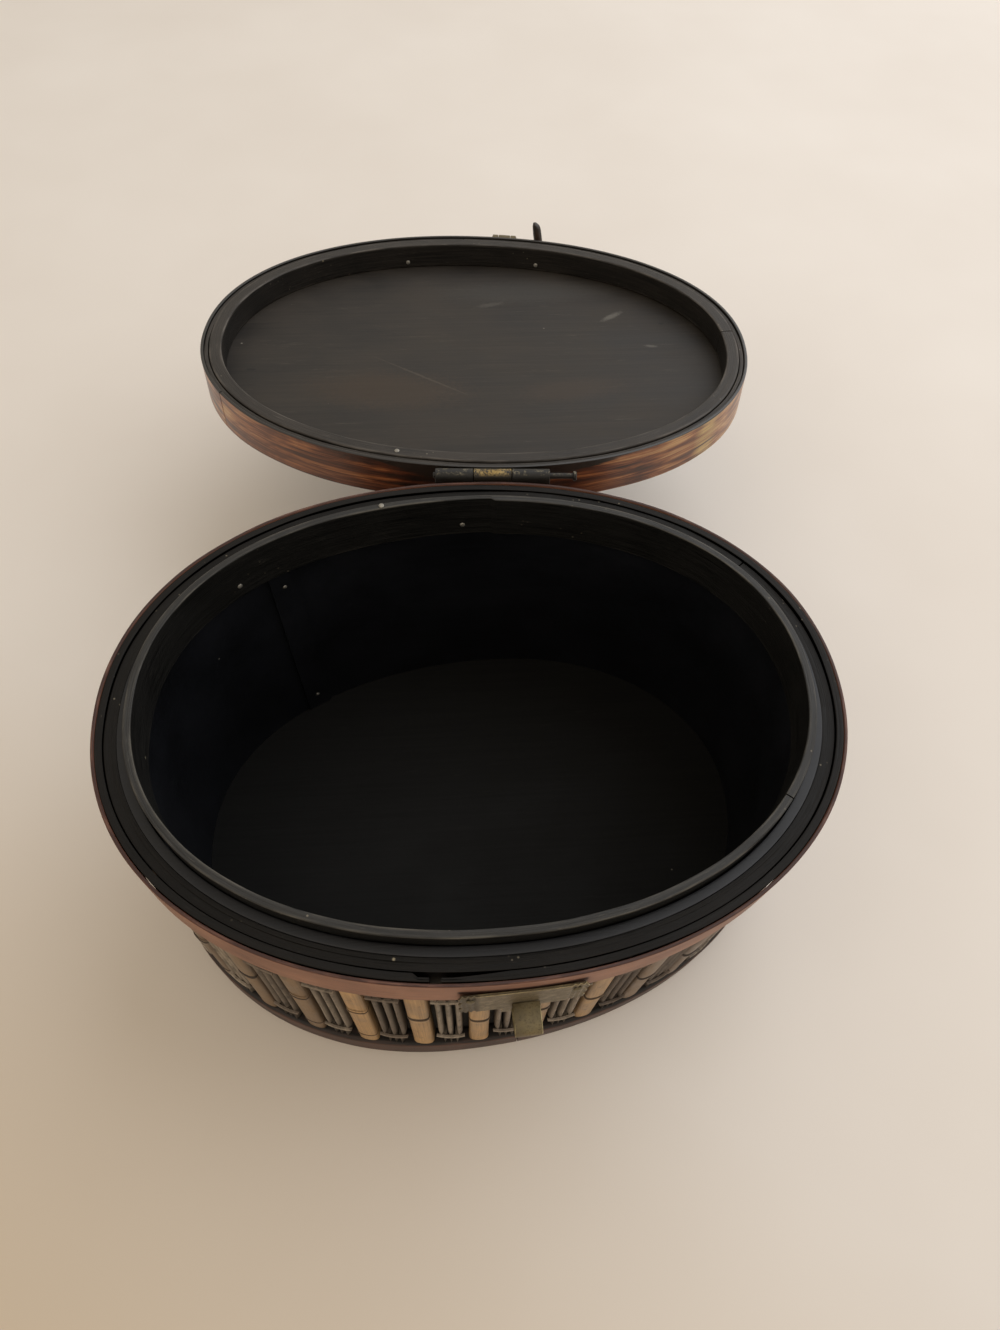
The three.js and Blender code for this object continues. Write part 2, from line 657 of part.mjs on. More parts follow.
// Lid: drawn shut in the box's own coordinates, then swung open about the hinge
const hingeFrame = wallFrame(hingeRun, HINGE_OFFSET, RIM_HEIGHT);
const lidPivot = new THREE.Group();
lidPivot.applyMatrix4(hingeFrame);
const lidSwing = new THREE.Group();
lidSwing.rotation.x = OPEN_ANGLE;
const lid = new THREE.Group();
lid.applyMatrix4(hingeFrame.clone().invert());
lidSwing.add(lid);
lidPivot.add(lidSwing);
object.add(lidPivot);

const lidBandIn = -LID_INSET - LID_BAND_THICK;
const middleOut = lidBandIn - FIT;
const middleIn = middleOut - MIDDLE_THICK;
const lidHoopOut = middleIn - FIT;
const lidHoopIn = lipOut + LIP_CLEARANCE;
const lidTop = lidBase + LID_DEPTH;
const boardLow = lidBase + LID_RECESS;
const hoopTop = boardLow - FIT;

const lidFace = spread(hingeFace, 0, LID_INSET, FIT);
const lidLeafNailFrames = [-1, 1].map((side) =>
  spread(lidFace, side * hingeNailSpread, -FIT - LEAF_THICK - NAIL_SEAT, LEAF_HEIGHT * leafNailShare));
const lidPlateLow = lidBase + LID_PLATE_RISE;
const lidPlateNailFrames = [-1, 1].map((side) =>
  wallFrame(LATCH_PLACE + side * LID_PLATE_NAIL_SPREAD, FIT + PLATE_THICK + NAIL_SEAT - LID_INSET,
    lidPlateLow + LID_PLATE_HEIGHT / 2));
const lidHoopNailFrames = lidNailShares.map((share) =>
  facingIn(wallFrame(share * PERIMETER, lidHoopIn - NAIL_SEAT, lidBase + LID_NAIL_RISE)));
const lidFaceHoles = [...lidLeafNailFrames, ...lidPlateNailFrames].map((f) => nailHole(PLATE_NAIL, f));

add(lid, 'lid_board', ovalBoard(middleOut, boardLow, lidTop - BOARD_REVEAL), material.darkWood);
const lidBand = splitHoop(-LID_INSET, lidBandIn, lidBase, lidTop, PERIMETER - LID_BAND_JOINT_PLACE);
add(lid, 'lid_outer_band', cut(lidBand, ...lidFaceHoles), material.scorched);
const middleHoop = splitHoop(middleOut, middleIn, lidBase + MIDDLE_DROP, hoopTop,
  middleJointShare * PERIMETER);
add(lid, 'lid_middle_hoop', cut(middleHoop, ...lidFaceHoles), material.blackWood);
const lidHoop = splitHoop(lidHoopOut, lidHoopIn, lidBase, hoopTop, LID_HOOP_JOINT_PLACE);
const lidHoopHoles = lidHoopNailFrames.map((frame) => nailHole(HOOP_NAIL, frame));
add(lid, 'lid_inner_hoop', cut(lidHoop, ...lidHoopHoles), material.blackWood);
addNails(lid, 'lid_hoop_nail', HOOP_NAIL, lidHoopNailFrames, material.iron);

// Lid leaf of the hinge: it steps in to the lid's band, which lies inside the rim band
const webLow = FIT + WEB_THICK;
const lidLeafIn = LID_INSET - FIT;
const lidLeaf = join(
  leafBox(-halfHinge, halfHinge, lidLeafIn - LEAF_THICK, lidLeafIn, webLow, FIT + LEAF_HEIGHT),
  leafBox(
    -knuckle / 2 + FIT / 2, knuckle / 2 - FIT / 2, -HINGE_OFFSET, lidLeafIn, webLow, webLow + WEB_THICK),
  barrel(-knuckle / 2, knuckle / 2));
const lidLeafHoles = lidLeafNailFrames.map((frame) =>
  nailHole(PLATE_NAIL, hingeFace.clone().invert().multiply(frame)));
const boredLidLeaf = cut(lidLeaf, barrelHole, ...lidLeafHoles);
add(lid, 'hinge_lid_leaf', boredLidLeaf.applyMatrix4(hingeFace), material.brass);
addNails(lid, 'hinge_lid_nail', PLATE_NAIL, lidLeafNailFrames, material.brass);

// Lid plate with two lugs that carry the hasp's pin
const haspHeight = lidBase + HASP_AXIS_RISE;
const haspFrame = wallFrame(LATCH_PLACE, HASP_AXIS_OFFSET, haspHeight);
const lidPlateOut = FIT + PLATE_THICK - LID_INSET;
const lidPlateBar = lobedBar(LID_PLATE_WIDTH, LID_PLATE_HEIGHT, LATCH_PLACE, lidPlateLow, FIT - LID_INSET);

function lug(side) {
  const near = HASP_KNUCKLE / 2 + FIT / 2;
  const far = HASP_KNUCKLE / 2 + HASP_LUG;
  const from = side > 0 ? near : -far;
  const to = side > 0 ? far : -near;
  const foot = HASP_AXIS_OFFSET - lidPlateOut + PLATE_THICK / 2;
  return join(
    barX(HASP_BARREL_RADIUS, from, to),
    leafBox(from + PIN_CLEARANCE, to - PIN_CLEARANCE, 0, foot,
      -HASP_BARREL_RADIUS / 2, HASP_BARREL_RADIUS / 2));
}

const haspPinHole = barX(HASP_PIN_RADIUS + PIN_CLEARANCE, -HASP_WIDTH, HASP_WIDTH);
const lugs = join(lug(-1), lug(1)).applyMatrix4(haspFrame);
const lidPlate = cut(
  join(lidPlateBar, lugs), haspPinHole.clone().applyMatrix4(haspFrame),
  ...lidPlateNailFrames.map((frame) => nailHole(PLATE_NAIL, frame)));
add(lid, 'lid_plate', lidPlate, material.brass);
addNails(lid, 'lid_plate_nail', PLATE_NAIL, lidPlateNailFrames, material.brass);
const haspPinHalf = HASP_KNUCKLE / 2 + HASP_LUG;
const haspPin = barX(HASP_PIN_RADIUS, -haspPinHalf, haspPinHalf);
add(lid, 'hasp_pin', haspPin.applyMatrix4(haspFrame), material.iron);

// Hasp: drawn hanging over the staple with the lid shut, then swung up to hang plumb behind the open lid
function hasp() {
  const drop = haspHeight - stapleHeight;
  const stapleOut = plateOut + FIT + STAPLE_REACH - HASP_AXIS_OFFSET;
  const stapleHalf = STAPLE_EYE / 2 + STAPLE_THICK;
  const slotTop = drop - stapleHalf - HASP_SLOT_PLAY;
  const slotLow = Math.hypot(drop + stapleHalf, stapleOut - stapleHalf) + HASP_SLOT_PLAY;
  const slotHalf = STAPLE_WIDTH / 2 + HASP_SLOT_SIDE;
  const halfThick = HASP_THICK / 2;
  const strap = join(
    barX(HASP_BARREL_RADIUS, -HASP_KNUCKLE / 2 + FIT / 2, HASP_KNUCKLE / 2 - FIT / 2),
    leafBox(-HASP_KNUCKLE / 2 + FIT / 2, HASP_KNUCKLE / 2 - FIT / 2, -halfThick, halfThick, -HASP_NECK, 0),
    leafBox(
      -HASP_WIDTH / 2, HASP_WIDTH / 2, -halfThick, halfThick, -slotLow - HASP_TIP, -HASP_NECK + OVERRUN));
  const slot = leafBox(-slotHalf, slotHalf, -HASP_THICK, HASP_THICK, -slotLow, -slotTop);
  return cut(strap, slot, haspPinHole);
}

const haspPivot = new THREE.Group();
haspPivot.applyMatrix4(haspFrame);
const haspSwing = new THREE.Group();
haspSwing.rotation.x = OPEN_ANGLE - 2 * Math.PI;
haspPivot.add(haspSwing);
lid.add(haspPivot);
add(haspSwing, 'hasp', hasp(), material.brass);

// Lock peg and its eye, along Z of a frame on the lid's face
const pegFrame = wallFrame(PEG_PLACE, PEG_AXIS_OFFSET, lidBase);
const eyeReach = PEG_AXIS_OFFSET + LID_INSET - FIT;

function pegEye() {
  const outer = new THREE.CylinderGeometry(
    PEG_EYE_RADIUS + PEG_FIT + EYE_WALL, PEG_EYE_RADIUS + PEG_FIT + EYE_WALL, EYE_HEIGHT, ROUND_SIDES);
  const neck = leafBox(-EYE_WALL, EYE_WALL, 0, eyeReach, -EYE_HEIGHT / 2, EYE_HEIGHT / 2);
  const foot = leafBox(-EYE_FOOT_WIDTH / 2, EYE_FOOT_WIDTH / 2, eyeReach - PLATE_THICK, eyeReach,
    -EYE_HEIGHT / 2, EYE_HEIGHT / 2);
  const bore = new THREE.CylinderGeometry(
    PEG_EYE_RADIUS + PEG_FIT, PEG_EYE_RADIUS + PEG_FIT, EYE_HEIGHT + 2 * OVERRUN, ROUND_SIDES);
  const eye = join(outer.rotateX(Math.PI / 2), neck, foot);
  return cut(eye, bore.rotateX(Math.PI / 2)).translate(0, 0, EYE_RISE);
}

function peg() {
  const head = PEG_LENGTH - PEG_TIP_REACH;
  const profile = [
    new THREE.Vector2(0, -PEG_TIP_REACH),
    new THREE.Vector2(PEG_TIP_RADIUS * pegPointShare, -PEG_TIP_REACH),
    new THREE.Vector2(PEG_TIP_RADIUS, -PEG_TIP_REACH + PEG_TIP_LENGTH),
    new THREE.Vector2(PEG_EYE_RADIUS, EYE_RISE + EYE_HEIGHT / 2),
    new THREE.Vector2(PEG_HEAD_RADIUS, EYE_RISE + EYE_HEIGHT / 2 + PEG_TIP_LENGTH),
    new THREE.Vector2(PEG_HEAD_RADIUS, head),
    new THREE.Vector2(0, head),
  ];
  return new THREE.LatheGeometry(profile, ROUND_SIDES).rotateX(Math.PI / 2);
}

add(lid, 'peg_eye', pegEye().applyMatrix4(pegFrame), material.brass);
add(lid, 'lock_peg', peg().applyMatrix4(pegFrame), material.blackWood);

export default object;
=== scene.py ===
# %% [markdown]
# An oval storage box stands open on a pale floor. Its walls are thin wooden strips bent round
# a board, dressed with split bamboo, and its lid lies open past flat on a small brass hinge.
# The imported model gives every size. This lesson builds the looks round it, piece by piece.

# %% Load the fixed frame
import json
import math
import bmesh
import bpy
import numpy as np
from mathutils import Matrix, Vector

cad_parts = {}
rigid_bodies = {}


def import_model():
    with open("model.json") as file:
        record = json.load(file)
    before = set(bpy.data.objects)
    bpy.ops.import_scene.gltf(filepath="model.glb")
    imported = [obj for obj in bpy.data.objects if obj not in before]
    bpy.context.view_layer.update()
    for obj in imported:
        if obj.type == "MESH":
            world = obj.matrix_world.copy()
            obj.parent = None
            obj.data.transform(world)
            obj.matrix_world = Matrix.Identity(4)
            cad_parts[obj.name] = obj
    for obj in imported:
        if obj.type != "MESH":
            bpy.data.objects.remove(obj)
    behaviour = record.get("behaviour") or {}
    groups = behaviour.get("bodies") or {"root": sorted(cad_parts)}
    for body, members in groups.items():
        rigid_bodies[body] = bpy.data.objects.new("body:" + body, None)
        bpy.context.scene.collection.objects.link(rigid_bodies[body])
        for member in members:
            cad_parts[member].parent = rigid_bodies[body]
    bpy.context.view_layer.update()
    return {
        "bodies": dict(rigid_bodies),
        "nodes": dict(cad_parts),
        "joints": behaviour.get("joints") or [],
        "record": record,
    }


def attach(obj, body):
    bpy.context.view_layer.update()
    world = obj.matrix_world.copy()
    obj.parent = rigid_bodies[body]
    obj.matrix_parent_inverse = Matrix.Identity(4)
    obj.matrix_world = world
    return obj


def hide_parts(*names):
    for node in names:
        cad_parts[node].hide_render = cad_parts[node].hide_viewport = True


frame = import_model()
MM = 0.001

# %% [markdown]
# Every strip of this box is bent round the same oval, which is a little squarer than an
# ellipse. A scaled circle would be quicker, but nothing on it could be placed by its distance
# along the wood. So the oval is a formula, and a table of the distance run round it lets each
# piece be placed by how far along the wall it lies. The walls lean in towards the foot, and the
# hand-bent foot is a little out of true.

# %% The oval and the wall
HALF_LENGTH = 130.0
HALF_WIDTH = 99.0
OVAL_POWER = 2.12
RIM_HEIGHT = 116.0
FOOT_INSET = 4.0
FOOT_SKEW = 3.8
TABLE_STEPS = 1440


def oval_point(angle):
    """The point of the oval at an angle, in millimetres."""
    c, s, power = np.cos(angle), np.sin(angle), 2 / OVAL_POWER
    return np.stack([HALF_LENGTH * np.sign(c) * np.abs(c) ** power,
                     HALF_WIDTH * np.sign(s) * np.abs(s) ** power], -1)


table_angle = np.linspace(-math.pi / 2, 1.5 * math.pi, TABLE_STEPS + 1)
table_step = np.linalg.norm(np.diff(oval_point(table_angle), axis=0), axis=1)
table_run = np.concatenate([[0.0], np.cumsum(table_step)])
PERIMETER = float(table_run[-1])


def wall(run, offset, z):
    """Points at distances run from the front, offsets outward of the rim band, and heights."""
    run, offset, z = np.broadcast_arrays(*(np.asarray(v, float) for v in (run, offset, z)))
    point = oval_point(np.interp(run % PERIMETER, table_run, table_angle))
    slope = np.stack([np.sign(point[..., i]) * np.abs(point[..., i] / half) ** (OVAL_POWER - 1) / half
                      for i, half in enumerate((HALF_LENGTH, HALF_WIDTH))], -1)
    normal = slope / np.linalg.norm(slope, axis=-1, keepdims=True)
    around = 2 * np.arctan2(point[..., 1], point[..., 0])
    lean = (FOOT_SKEW * np.sin(around) - FOOT_INSET) * np.maximum(0, 1 - z / RIM_HEIGHT)
    return np.concatenate([point + normal * (offset + lean)[..., None], z[..., None]], -1)


def wall_frame(run, offset, z):
    """A frame on the wall, in metres: X runs on round the oval, -Y points outward, Z is up."""
    here, out = wall(run, offset, z), wall(run, offset + 1, z)
    heading = math.atan2(out[1] - here[1], out[0] - here[0]) + math.pi / 2
    return Matrix.Translation(Vector(here) * MM) @ Matrix.Rotation(heading, 4, "Z")


print("perimeter", round(PERIMETER, 1), "mm")

# %% [markdown]
# The lid is easiest to draw shut, in the same coordinates as the walls. The hinge joint of the
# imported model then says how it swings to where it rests: back by its full range.

# %% Where the lid and its loose pieces lie
def turn_about(joint, degrees):
    """The matrix that turns a drawing about a joint's axis."""
    place = Matrix.Translation(Vector(joint["pos_m"]))
    return place @ Matrix.Rotation(math.radians(degrees), 4, Vector(joint["axis"])) @ place.inverted()


joints = {joint["name"]: joint for joint in frame["joints"]}
lid_range = joints["lid_hinge"]["range_deg"][1]
hasp_range = joints["hasp_hinge"]["range_deg"][1]
SHUT = Matrix.Identity(4)
LID_OPEN = turn_about(joints["lid_hinge"], -lid_range)
HASP_OPEN = turn_about(joints["hasp_hinge"], -hasp_range) @ LID_OPEN
print("lid opens by", lid_range, "degrees, hasp swings by", hasp_range)

# %% [markdown]
# A piece is plain numbers until it becomes a mesh. This helper makes the mesh, gives it a
# grain map in metres so that wood grain can follow a bent strip, smooths it, gives it its
# material and lets it ride on its body.

# %% Make a piece
SMOOTH_ANGLE = math.radians(38)


def finish_piece(obj, body, material, replaced=()):
    """Gives a finished object its material and its body, and hides what it stands for."""
    obj.data.shade_smooth()
    obj.data.set_sharp_from_angle(angle=SMOOTH_ANGLE)
    if material is not None:
        obj.data.materials.clear()
        obj.data.materials.append(material)
    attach(obj, body)
    if replaced:
        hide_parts(*replaced)
    return obj


def new_object(name, mesh):
    obj = bpy.data.objects.new(name, mesh)
    bpy.context.scene.collection.objects.link(obj)
    return obj


def set_floats(mesh, name, values, domain="POINT"):
    """Stores one number for each point or face, for a material or a node tree to read."""
    data = mesh.attributes.new(name, "FLOAT", domain).data
    data.foreach_set("value", np.ascontiguousarray(values, np.float32))


def mesh_of(name, points, faces, place=SHUT, grain=None, wear=None):
    """A mesh from points in millimetres, with an optional grain map and (wear, facing) per point."""
    mesh = bpy.data.meshes.new(name)
    mesh.from_pydata([place @ (Vector(p) * MM) for p in points], [], faces)
    if grain is not None:
        layer = mesh.uv_layers.new(name="grain")
        layer.data.foreach_set("uv", (np.asarray(grain, np.float32) * MM).ravel())
    if wear is not None:
        for key, values in zip(("wear", "facing"), np.asarray(wear).T):
            set_floats(mesh, key, values)
    mesh.validate()
    return mesh


# %% [markdown]
# A bent strip is a small cross-section carried along the wall. A curve with a bevel could carry
# it too, but couldn't tell the paint what it has to know, so the points are worked out here.
# Real strips are split by hand, so their edges are eased and wander by a few tenths of a
# millimetre. The wander is a sum of slow waves that meet again after one turn, and each strip
# has its own seed. Each point also says how near a corner it is, where paint wears, and how far
# its side faces up or down.

# %% Bent strips
def rounded(outer, inner, low, high, radius, arc=3):
    """A rectangle with eased corners, as (offset, z) from outer low, with each point's wear and facing."""
    corners = [(outer - radius, low + radius, -90), (outer - radius, high - radius, 0),
               (inner + radius, high - radius, 90), (inner + radius, low + radius, 180)]
    # Past each corner the wear fades out over this distance, which is less on a thin strip
    fade = min(0.6, 0.4 * (min(outer - inner, high - low) - 2 * radius))
    points, marks = [], []
    for x, z, start in corners:
        for i in range(-1, arc + 2):
            a = math.radians(start + 90 * min(max(i, 0), arc) / arc)
            past = fade * (i - min(max(i, 0), arc))
            c, s = math.cos(a), math.sin(a)
            points.append((x + radius * c - past * s, z + radius * s + past * c))
            marks.append((0.0 if past else 1.0 if 0 < i < arc else 0.6, s))
    return np.array(points), np.array(marks)


def wander(run, seed, cycles=(2, 3, 5, 9, 14, 23)):
    """A slow random wave of about unit height that closes on itself round the oval."""
    rng = np.random.default_rng(seed)
    total = np.zeros_like(run)
    for count in cycles:
        height, phase = rng.normal() / count ** 0.5, rng.uniform(0, 6.28)
        total += height * np.sin(2 * math.pi * count * run / PERIMETER + phase)
    return total / 1.6


RING_STEPS, BOARD_HEART = 420, 0.04


def strip(name, section, start=0.0, end=None, place=SHUT, seed=1, sway=0.1, lift=0.1, thin=None):
    """Carries a section along the wall, right round or from one distance to another.

    Thin is a function of the distance that says how much is shaved off the strip's inner side.
    """
    (profile, marks), size = section, len(section[0])
    whole = end is None
    span = PERIMETER if whole else end - start
    count = max(4, round(RING_STEPS * span / PERIMETER))
    runs = start + span * np.arange(count + (0 if whole else 1)) / count
    shift, rise = sway * wander(runs, seed), lift * wander(runs, seed + 100)
    top = profile[:, 1] > profile[:, 1].mean()
    offset = profile[None, :, 0] + shift[:, None]
    if thin is not None:
        inner = profile[:, 0] < profile[:, 0].mean()
        offset = offset + thin(runs)[:, None] * inner[None, :]
    height = profile[None, :, 1] + rise[:, None] * top[None, :]
    points = wall(runs[:, None], offset, height).reshape(-1, 3)
    side_lengths = np.linalg.norm(np.diff(profile, axis=0, append=profile[:1]), axis=1)
    across = np.concatenate([[0], np.cumsum(side_lengths)])
    faces, grain = [], []
    for i in range(count):
        nxt = (i + 1) % len(runs)
        u0, u1 = start + span * i / count, start + span * (i + 1) / count
        for j in range(size):
            k = (j + 1) % size
            faces.append((i * size + j, nxt * size + j, nxt * size + k, i * size + k))
            grain += [(u0, across[j]), (u1, across[j]), (u1, across[j + 1]), (u0, across[j + 1])]
    if not whole:
        last = (len(runs) - 1) * size
        faces.append(tuple(range(size)))
        faces.append(tuple(last + j for j in reversed(range(size))))
        grain += [(start, across[j]) for j in range(size)]
        grain += [(end, across[j]) for j in reversed(range(size))]
    return mesh_of(name, points, faces, place, grain, np.tile(marks, (len(runs), 1)))


def board(name, offset, low, high, radius, place=SHUT, rings=14):
    """A flat oval board with eased edges, as rings that shrink to a small one at its middle."""
    runs = PERIMETER * np.arange(RING_STEPS) / RING_STEPS
    rim = [(offset - radius, low), (offset, low + radius), (offset, high - radius), (offset - radius, high)]
    loops = [wall(runs, rim[0][0], low) * [share, share, 1] for share in np.linspace(BOARD_HEART, 1, rings)]
    loops += [wall(runs, o, z) for o, z in rim[1:3]]
    loops += [wall(runs, rim[3][0], high) * [share, share, 1] for share in np.linspace(1, BOARD_HEART, rings)]
    points = np.concatenate(loops)
    count, faces = RING_STEPS, []
    for i in range(len(loops) - 1):
        for j in range(count):
            k = (j + 1) % count
            faces.append((i * count + j, i * count + k, (i + 1) * count + k, (i + 1) * count + j))
    last = (len(loops) - 1) * count
    faces.append(tuple(reversed(range(count))))
    faces.append(tuple(range(last, last + count)))
    return mesh_of(name, points, faces, place)


# %% [markdown]
# Colours are written as sRGB hex, which is how an eye or a colour picker reads them, and one
# function turns them to the linear values that the shader wants. One small function adds a
# node, sets it and links its inputs, and the rest of each material is a list of such calls.

# %% Colours and nodes
def colour(hex_value):
    """An sRGB hex value as a linear colour."""
    parts = [int(hex_value[i:i + 2], 16) / 255 for i in (1, 3, 5)]
    return [p / 12.92 if p <= 0.04045 else ((p + 0.055) / 1.055) ** 2.4 for p in parts] + [1.0]


def node(tree, kind, settings=None, **inputs):
    """Adds a node. Settings are its properties, and inputs are values or sockets to link."""
    made = tree.nodes.new(kind)
    for key, value in (settings or {}).items():
        setattr(made, key, value)
    for key, value in inputs.items():
        socket = made.inputs[int(key[1:])] if key[0] == "_" else made.inputs[key.replace("_", " ")]
        if isinstance(value, bpy.types.NodeSocket):
            tree.links.new(value, socket)
        else:
            socket.default_value = value
    return made


def new_material(name):
    """A material with its tree and its shader."""
    material = bpy.data.materials.new(name)
    material.use_nodes = True
    tree = material.node_tree
    return material, tree, tree.nodes["Principled BSDF"]


def per_mm(*sizes):
    """The mapping scale that makes one pattern cell as large as these sizes in millimetres."""
    return [1 / (size * MM) for size in sizes]


def ramp(tree, value, stops):
    """A colour ramp with stops of (place, hex)."""
    made = node(tree, "ShaderNodeValToRGB", Fac=value)
    band = made.color_ramp
    while len(band.elements) < len(stops):
        band.elements.new(0.5)
    for element, (place, hex_value) in zip(band.elements, stops):
        element.position = place
        element.color = colour(hex_value)
    return made.outputs["Color"]


# %% [markdown]
# Nearly every finish here is noise with cells of a real size, spread over a range and mixed
# into a colour. These helpers say that in one line each. The depth of a bump is given in
# millimetres too, as a scratch or a pore would be measured.

# %% Noise, mixing and bump
def noise(tree, coordinates, cell, detail=3.0, roughness=0.55, distortion=0.0):
    """Noise whose cells are as large as the sizes in cell, in millimetres."""
    mapping = node(tree, "ShaderNodeMapping", Vector=coordinates, Scale=per_mm(*cell))
    made = node(tree, "ShaderNodeTexNoise", Vector=mapping.outputs["Vector"], Scale=1.0, Detail=detail,
                Roughness=roughness, Distortion=distortion)
    return made.outputs["Fac"]


def remap(tree, value, low, high, to_low=0.0, to_high=1.0):
    """Spreads part of a value's range, clamped at both ends."""
    made = node(tree, "ShaderNodeMapRange", Value=value, From_Min=low, From_Max=high,
                To_Min=to_low, To_Max=to_high)
    return made.outputs["Result"]


def mix(tree, share, first, second, blend="MIX"):
    """Mixes two colours, each a hex value or a socket."""
    first, second = (colour(c) if isinstance(c, str) else c for c in (first, second))
    made = node(tree, "ShaderNodeMix", {"data_type": "RGBA", "blend_type": blend},
                _0=share, _6=first, _7=second)
    return made.outputs[2]


def maths(tree, operation, first, second):
    return node(tree, "ShaderNodeMath", {"operation": operation}, _0=first, _1=second).outputs[0]


def bump(tree, shader, height, distance, strength=1.0):
    """Joins a height to the shader's normal, with its real depth in millimetres."""
    made = node(tree, "ShaderNodeBump", Height=height, Distance=distance * MM, Strength=strength)
    tree.links.new(made.outputs["Normal"], shader.inputs["Normal"])


def object_coordinates(tree):
    return node(tree, "ShaderNodeTexCoord").outputs["Object"]


def grain_coordinates(tree):
    return node(tree, "ShaderNodeUVMap", {"uv_map": "grain"}).outputs["UV"]


def attribute(tree, name):
    return node(tree, "ShaderNodeAttribute", {"attribute_name": name}).outputs["Fac"]


# %% [markdown]
# The bent strips of the rim and the lid are split wood under old black paint. The paint is
# thin, so long fibres show through it, and where hands rub the corners it has worn to a pale
# brassy brown. The wear follows an attribute that is high at the corners of each strip. A few
# small chips show the pale wood, each of them one cell of a Voronoi pattern.

# %% Black paint on split wood
FIBRE = (34.0, 0.5, 0.5)
PATCH = (26.0, 26.0, 26.0)
CHIP_SPACING = 17.0
CHIP_SIZE = 0.55


def chips(tree, place, spacing=CHIP_SPACING, size=CHIP_SIZE, share=0.35):
    """Small round chips, about one in each cell for the given share of the cells."""
    mapping = node(tree, "ShaderNodeMapping", Vector=place, Scale=per_mm(spacing, spacing, spacing))
    cells = node(tree, "ShaderNodeTexVoronoi", Vector=mapping.outputs["Vector"], Scale=1.0)
    near = remap(tree, cells.outputs["Distance"], size / spacing * 0.7, size / spacing * 1.3, 1.0, 0.0)
    chance = node(tree, "ShaderNodeSeparateColor", Color=cells.outputs["Color"]).outputs[0]
    return maths(tree, "MULTIPLY", near, maths(tree, "LESS_THAN", chance, share))


def black_paint(name, dark, light, worn, wear_from, roughness=0.5, shine=0.4, relief=0.3, side_shade=1.0):
    """Thin black paint. Its upright sides are darkened by a share and their reflection dimmed, as painted
    shade.
    """
    material, tree, shader = new_material(name)
    grain, place = grain_coordinates(tree), object_coordinates(tree)
    fibres = noise(tree, grain, FIBRE, 4.0, 0.6, 0.3)
    patches = noise(tree, place, PATCH, 3.0)
    scuffs = noise(tree, grain, (9.0, 1.2, 1.2), 5.0, 0.7)
    tone = ramp(tree, maths(tree, "MULTIPLY", fibres, remap(tree, patches, 0.3, 0.7, 0.78, 1.12)),
                [(0.3, dark), (0.6, light)])
    tone = mix(tree, remap(tree, scuffs, 0.6, 0.72, 0.0, 0.3), tone, worn)
    rough_edge = noise(tree, grain, (22.0, 2.0, 2.0), 5.0, 0.6)
    bare = remap(tree, rough_edge, wear_from, wear_from + 0.2, 0.0, 0.6)
    tone = mix(tree, maths(tree, "MULTIPLY", attribute(tree, "wear"), bare), tone, worn)
    clusters = remap(tree, noise(tree, place, (36.0, 36.0, 36.0), 2.0), 0.54, 0.64, 0.0, 0.6)
    tone = mix(tree, maths(tree, "MULTIPLY", chips(tree, place, 2.6, 0.34, 0.4), clusters), tone, "#8C8474")
    tone = mix(tree, maths(tree, "MULTIPLY", chips(tree, place), 0.7), tone, "#B5A98F")
    # Painted shade: upright sides are darkened and their reflection dimmed, so gaps between strips read dark.
    shade_factor = remap(tree, maths(tree, "ABSOLUTE", attribute(tree, "facing"), 0.0), 0.1, 0.7, side_shade, 1.0)
    grey = node(tree, "ShaderNodeCombineColor", _0=shade_factor, _1=shade_factor, _2=shade_factor).outputs[0]
    tree.links.new(mix(tree, 1.0, tone, grey, "MULTIPLY"), shader.inputs["Base Color"])
    tree.links.new(remap(tree, fibres, 0.3, 0.7, roughness - 0.06, roughness + 0.14),
                   shader.inputs["Roughness"])
    tree.links.new(maths(tree, "MULTIPLY", shade_factor, shine), shader.inputs["Specular IOR Level"])
    bump(tree, shader, maths(tree, "ADD", fibres, maths(tree, "MULTIPLY", scuffs, 0.5)), relief, 0.8)
    return material


# The ledge's upright sides get the deepest painted shade, which blacks out its joint gap; the lip's and the
# lid hoops' sides are painted half as dark.
ledge_paint = black_paint("black_paint_on_split_ash", "#090806", "#171411", "#332E27", 0.55,
                          shine=0.22, side_shade=0.15)
lip_paint = black_paint("black_paint_rubbed_at_the_lip", "#161615", "#2F2E2C", "#6A655B", 0.44, 0.42,
                        side_shade=0.5)
lid_paint = black_paint("black_paint_on_the_lid_hoops", "#1B1917", "#39342F", "#736C64", 0.44, 0.5,
                        side_shade=0.5)
print("black paints made")

# %% [markdown]
# Inside, the wall is a thin sheet of dark stained wood with a dull gloss, nearly black because
# little light reaches it. Its faint blue is a painted reflection of the cool window light. The
# floor and the lid's panel are the same stain on a board, greyer with age, with faint grain
# along the box, some scuffs and a few dark spots. The lid's panel also has smears at set
# places: browner and greyer patches, pale rubs, a scratch and two knots.
# A painted image could hold them, but ragged ovals need no file and stay sharp at any size.

# %% Dark stain
def smear(tree, place, centre, reach, turn):
    """How far inside a ragged oval patch a place is, from its X and Y in millimetres."""
    local = node(tree, "ShaderNodeMapping", {"vector_type": "TEXTURE"}, Vector=place,
                 Location=(centre[0] * MM, centre[1] * MM, 0), Rotation=(0, 0, math.radians(turn)),
                 Scale=(reach[0] * MM, reach[1] * MM, 1.0))
    away = node(tree, "ShaderNodeVectorMath", {"operation": "LENGTH"}, _0=local.outputs[0]).outputs[1]
    ragged = noise(tree, place, (1.6, 1.6, 1.6), 4.0, 0.7)
    return remap(tree, maths(tree, "ADD", away, ragged), 0.9, 1.4, 1.0, 0.0)


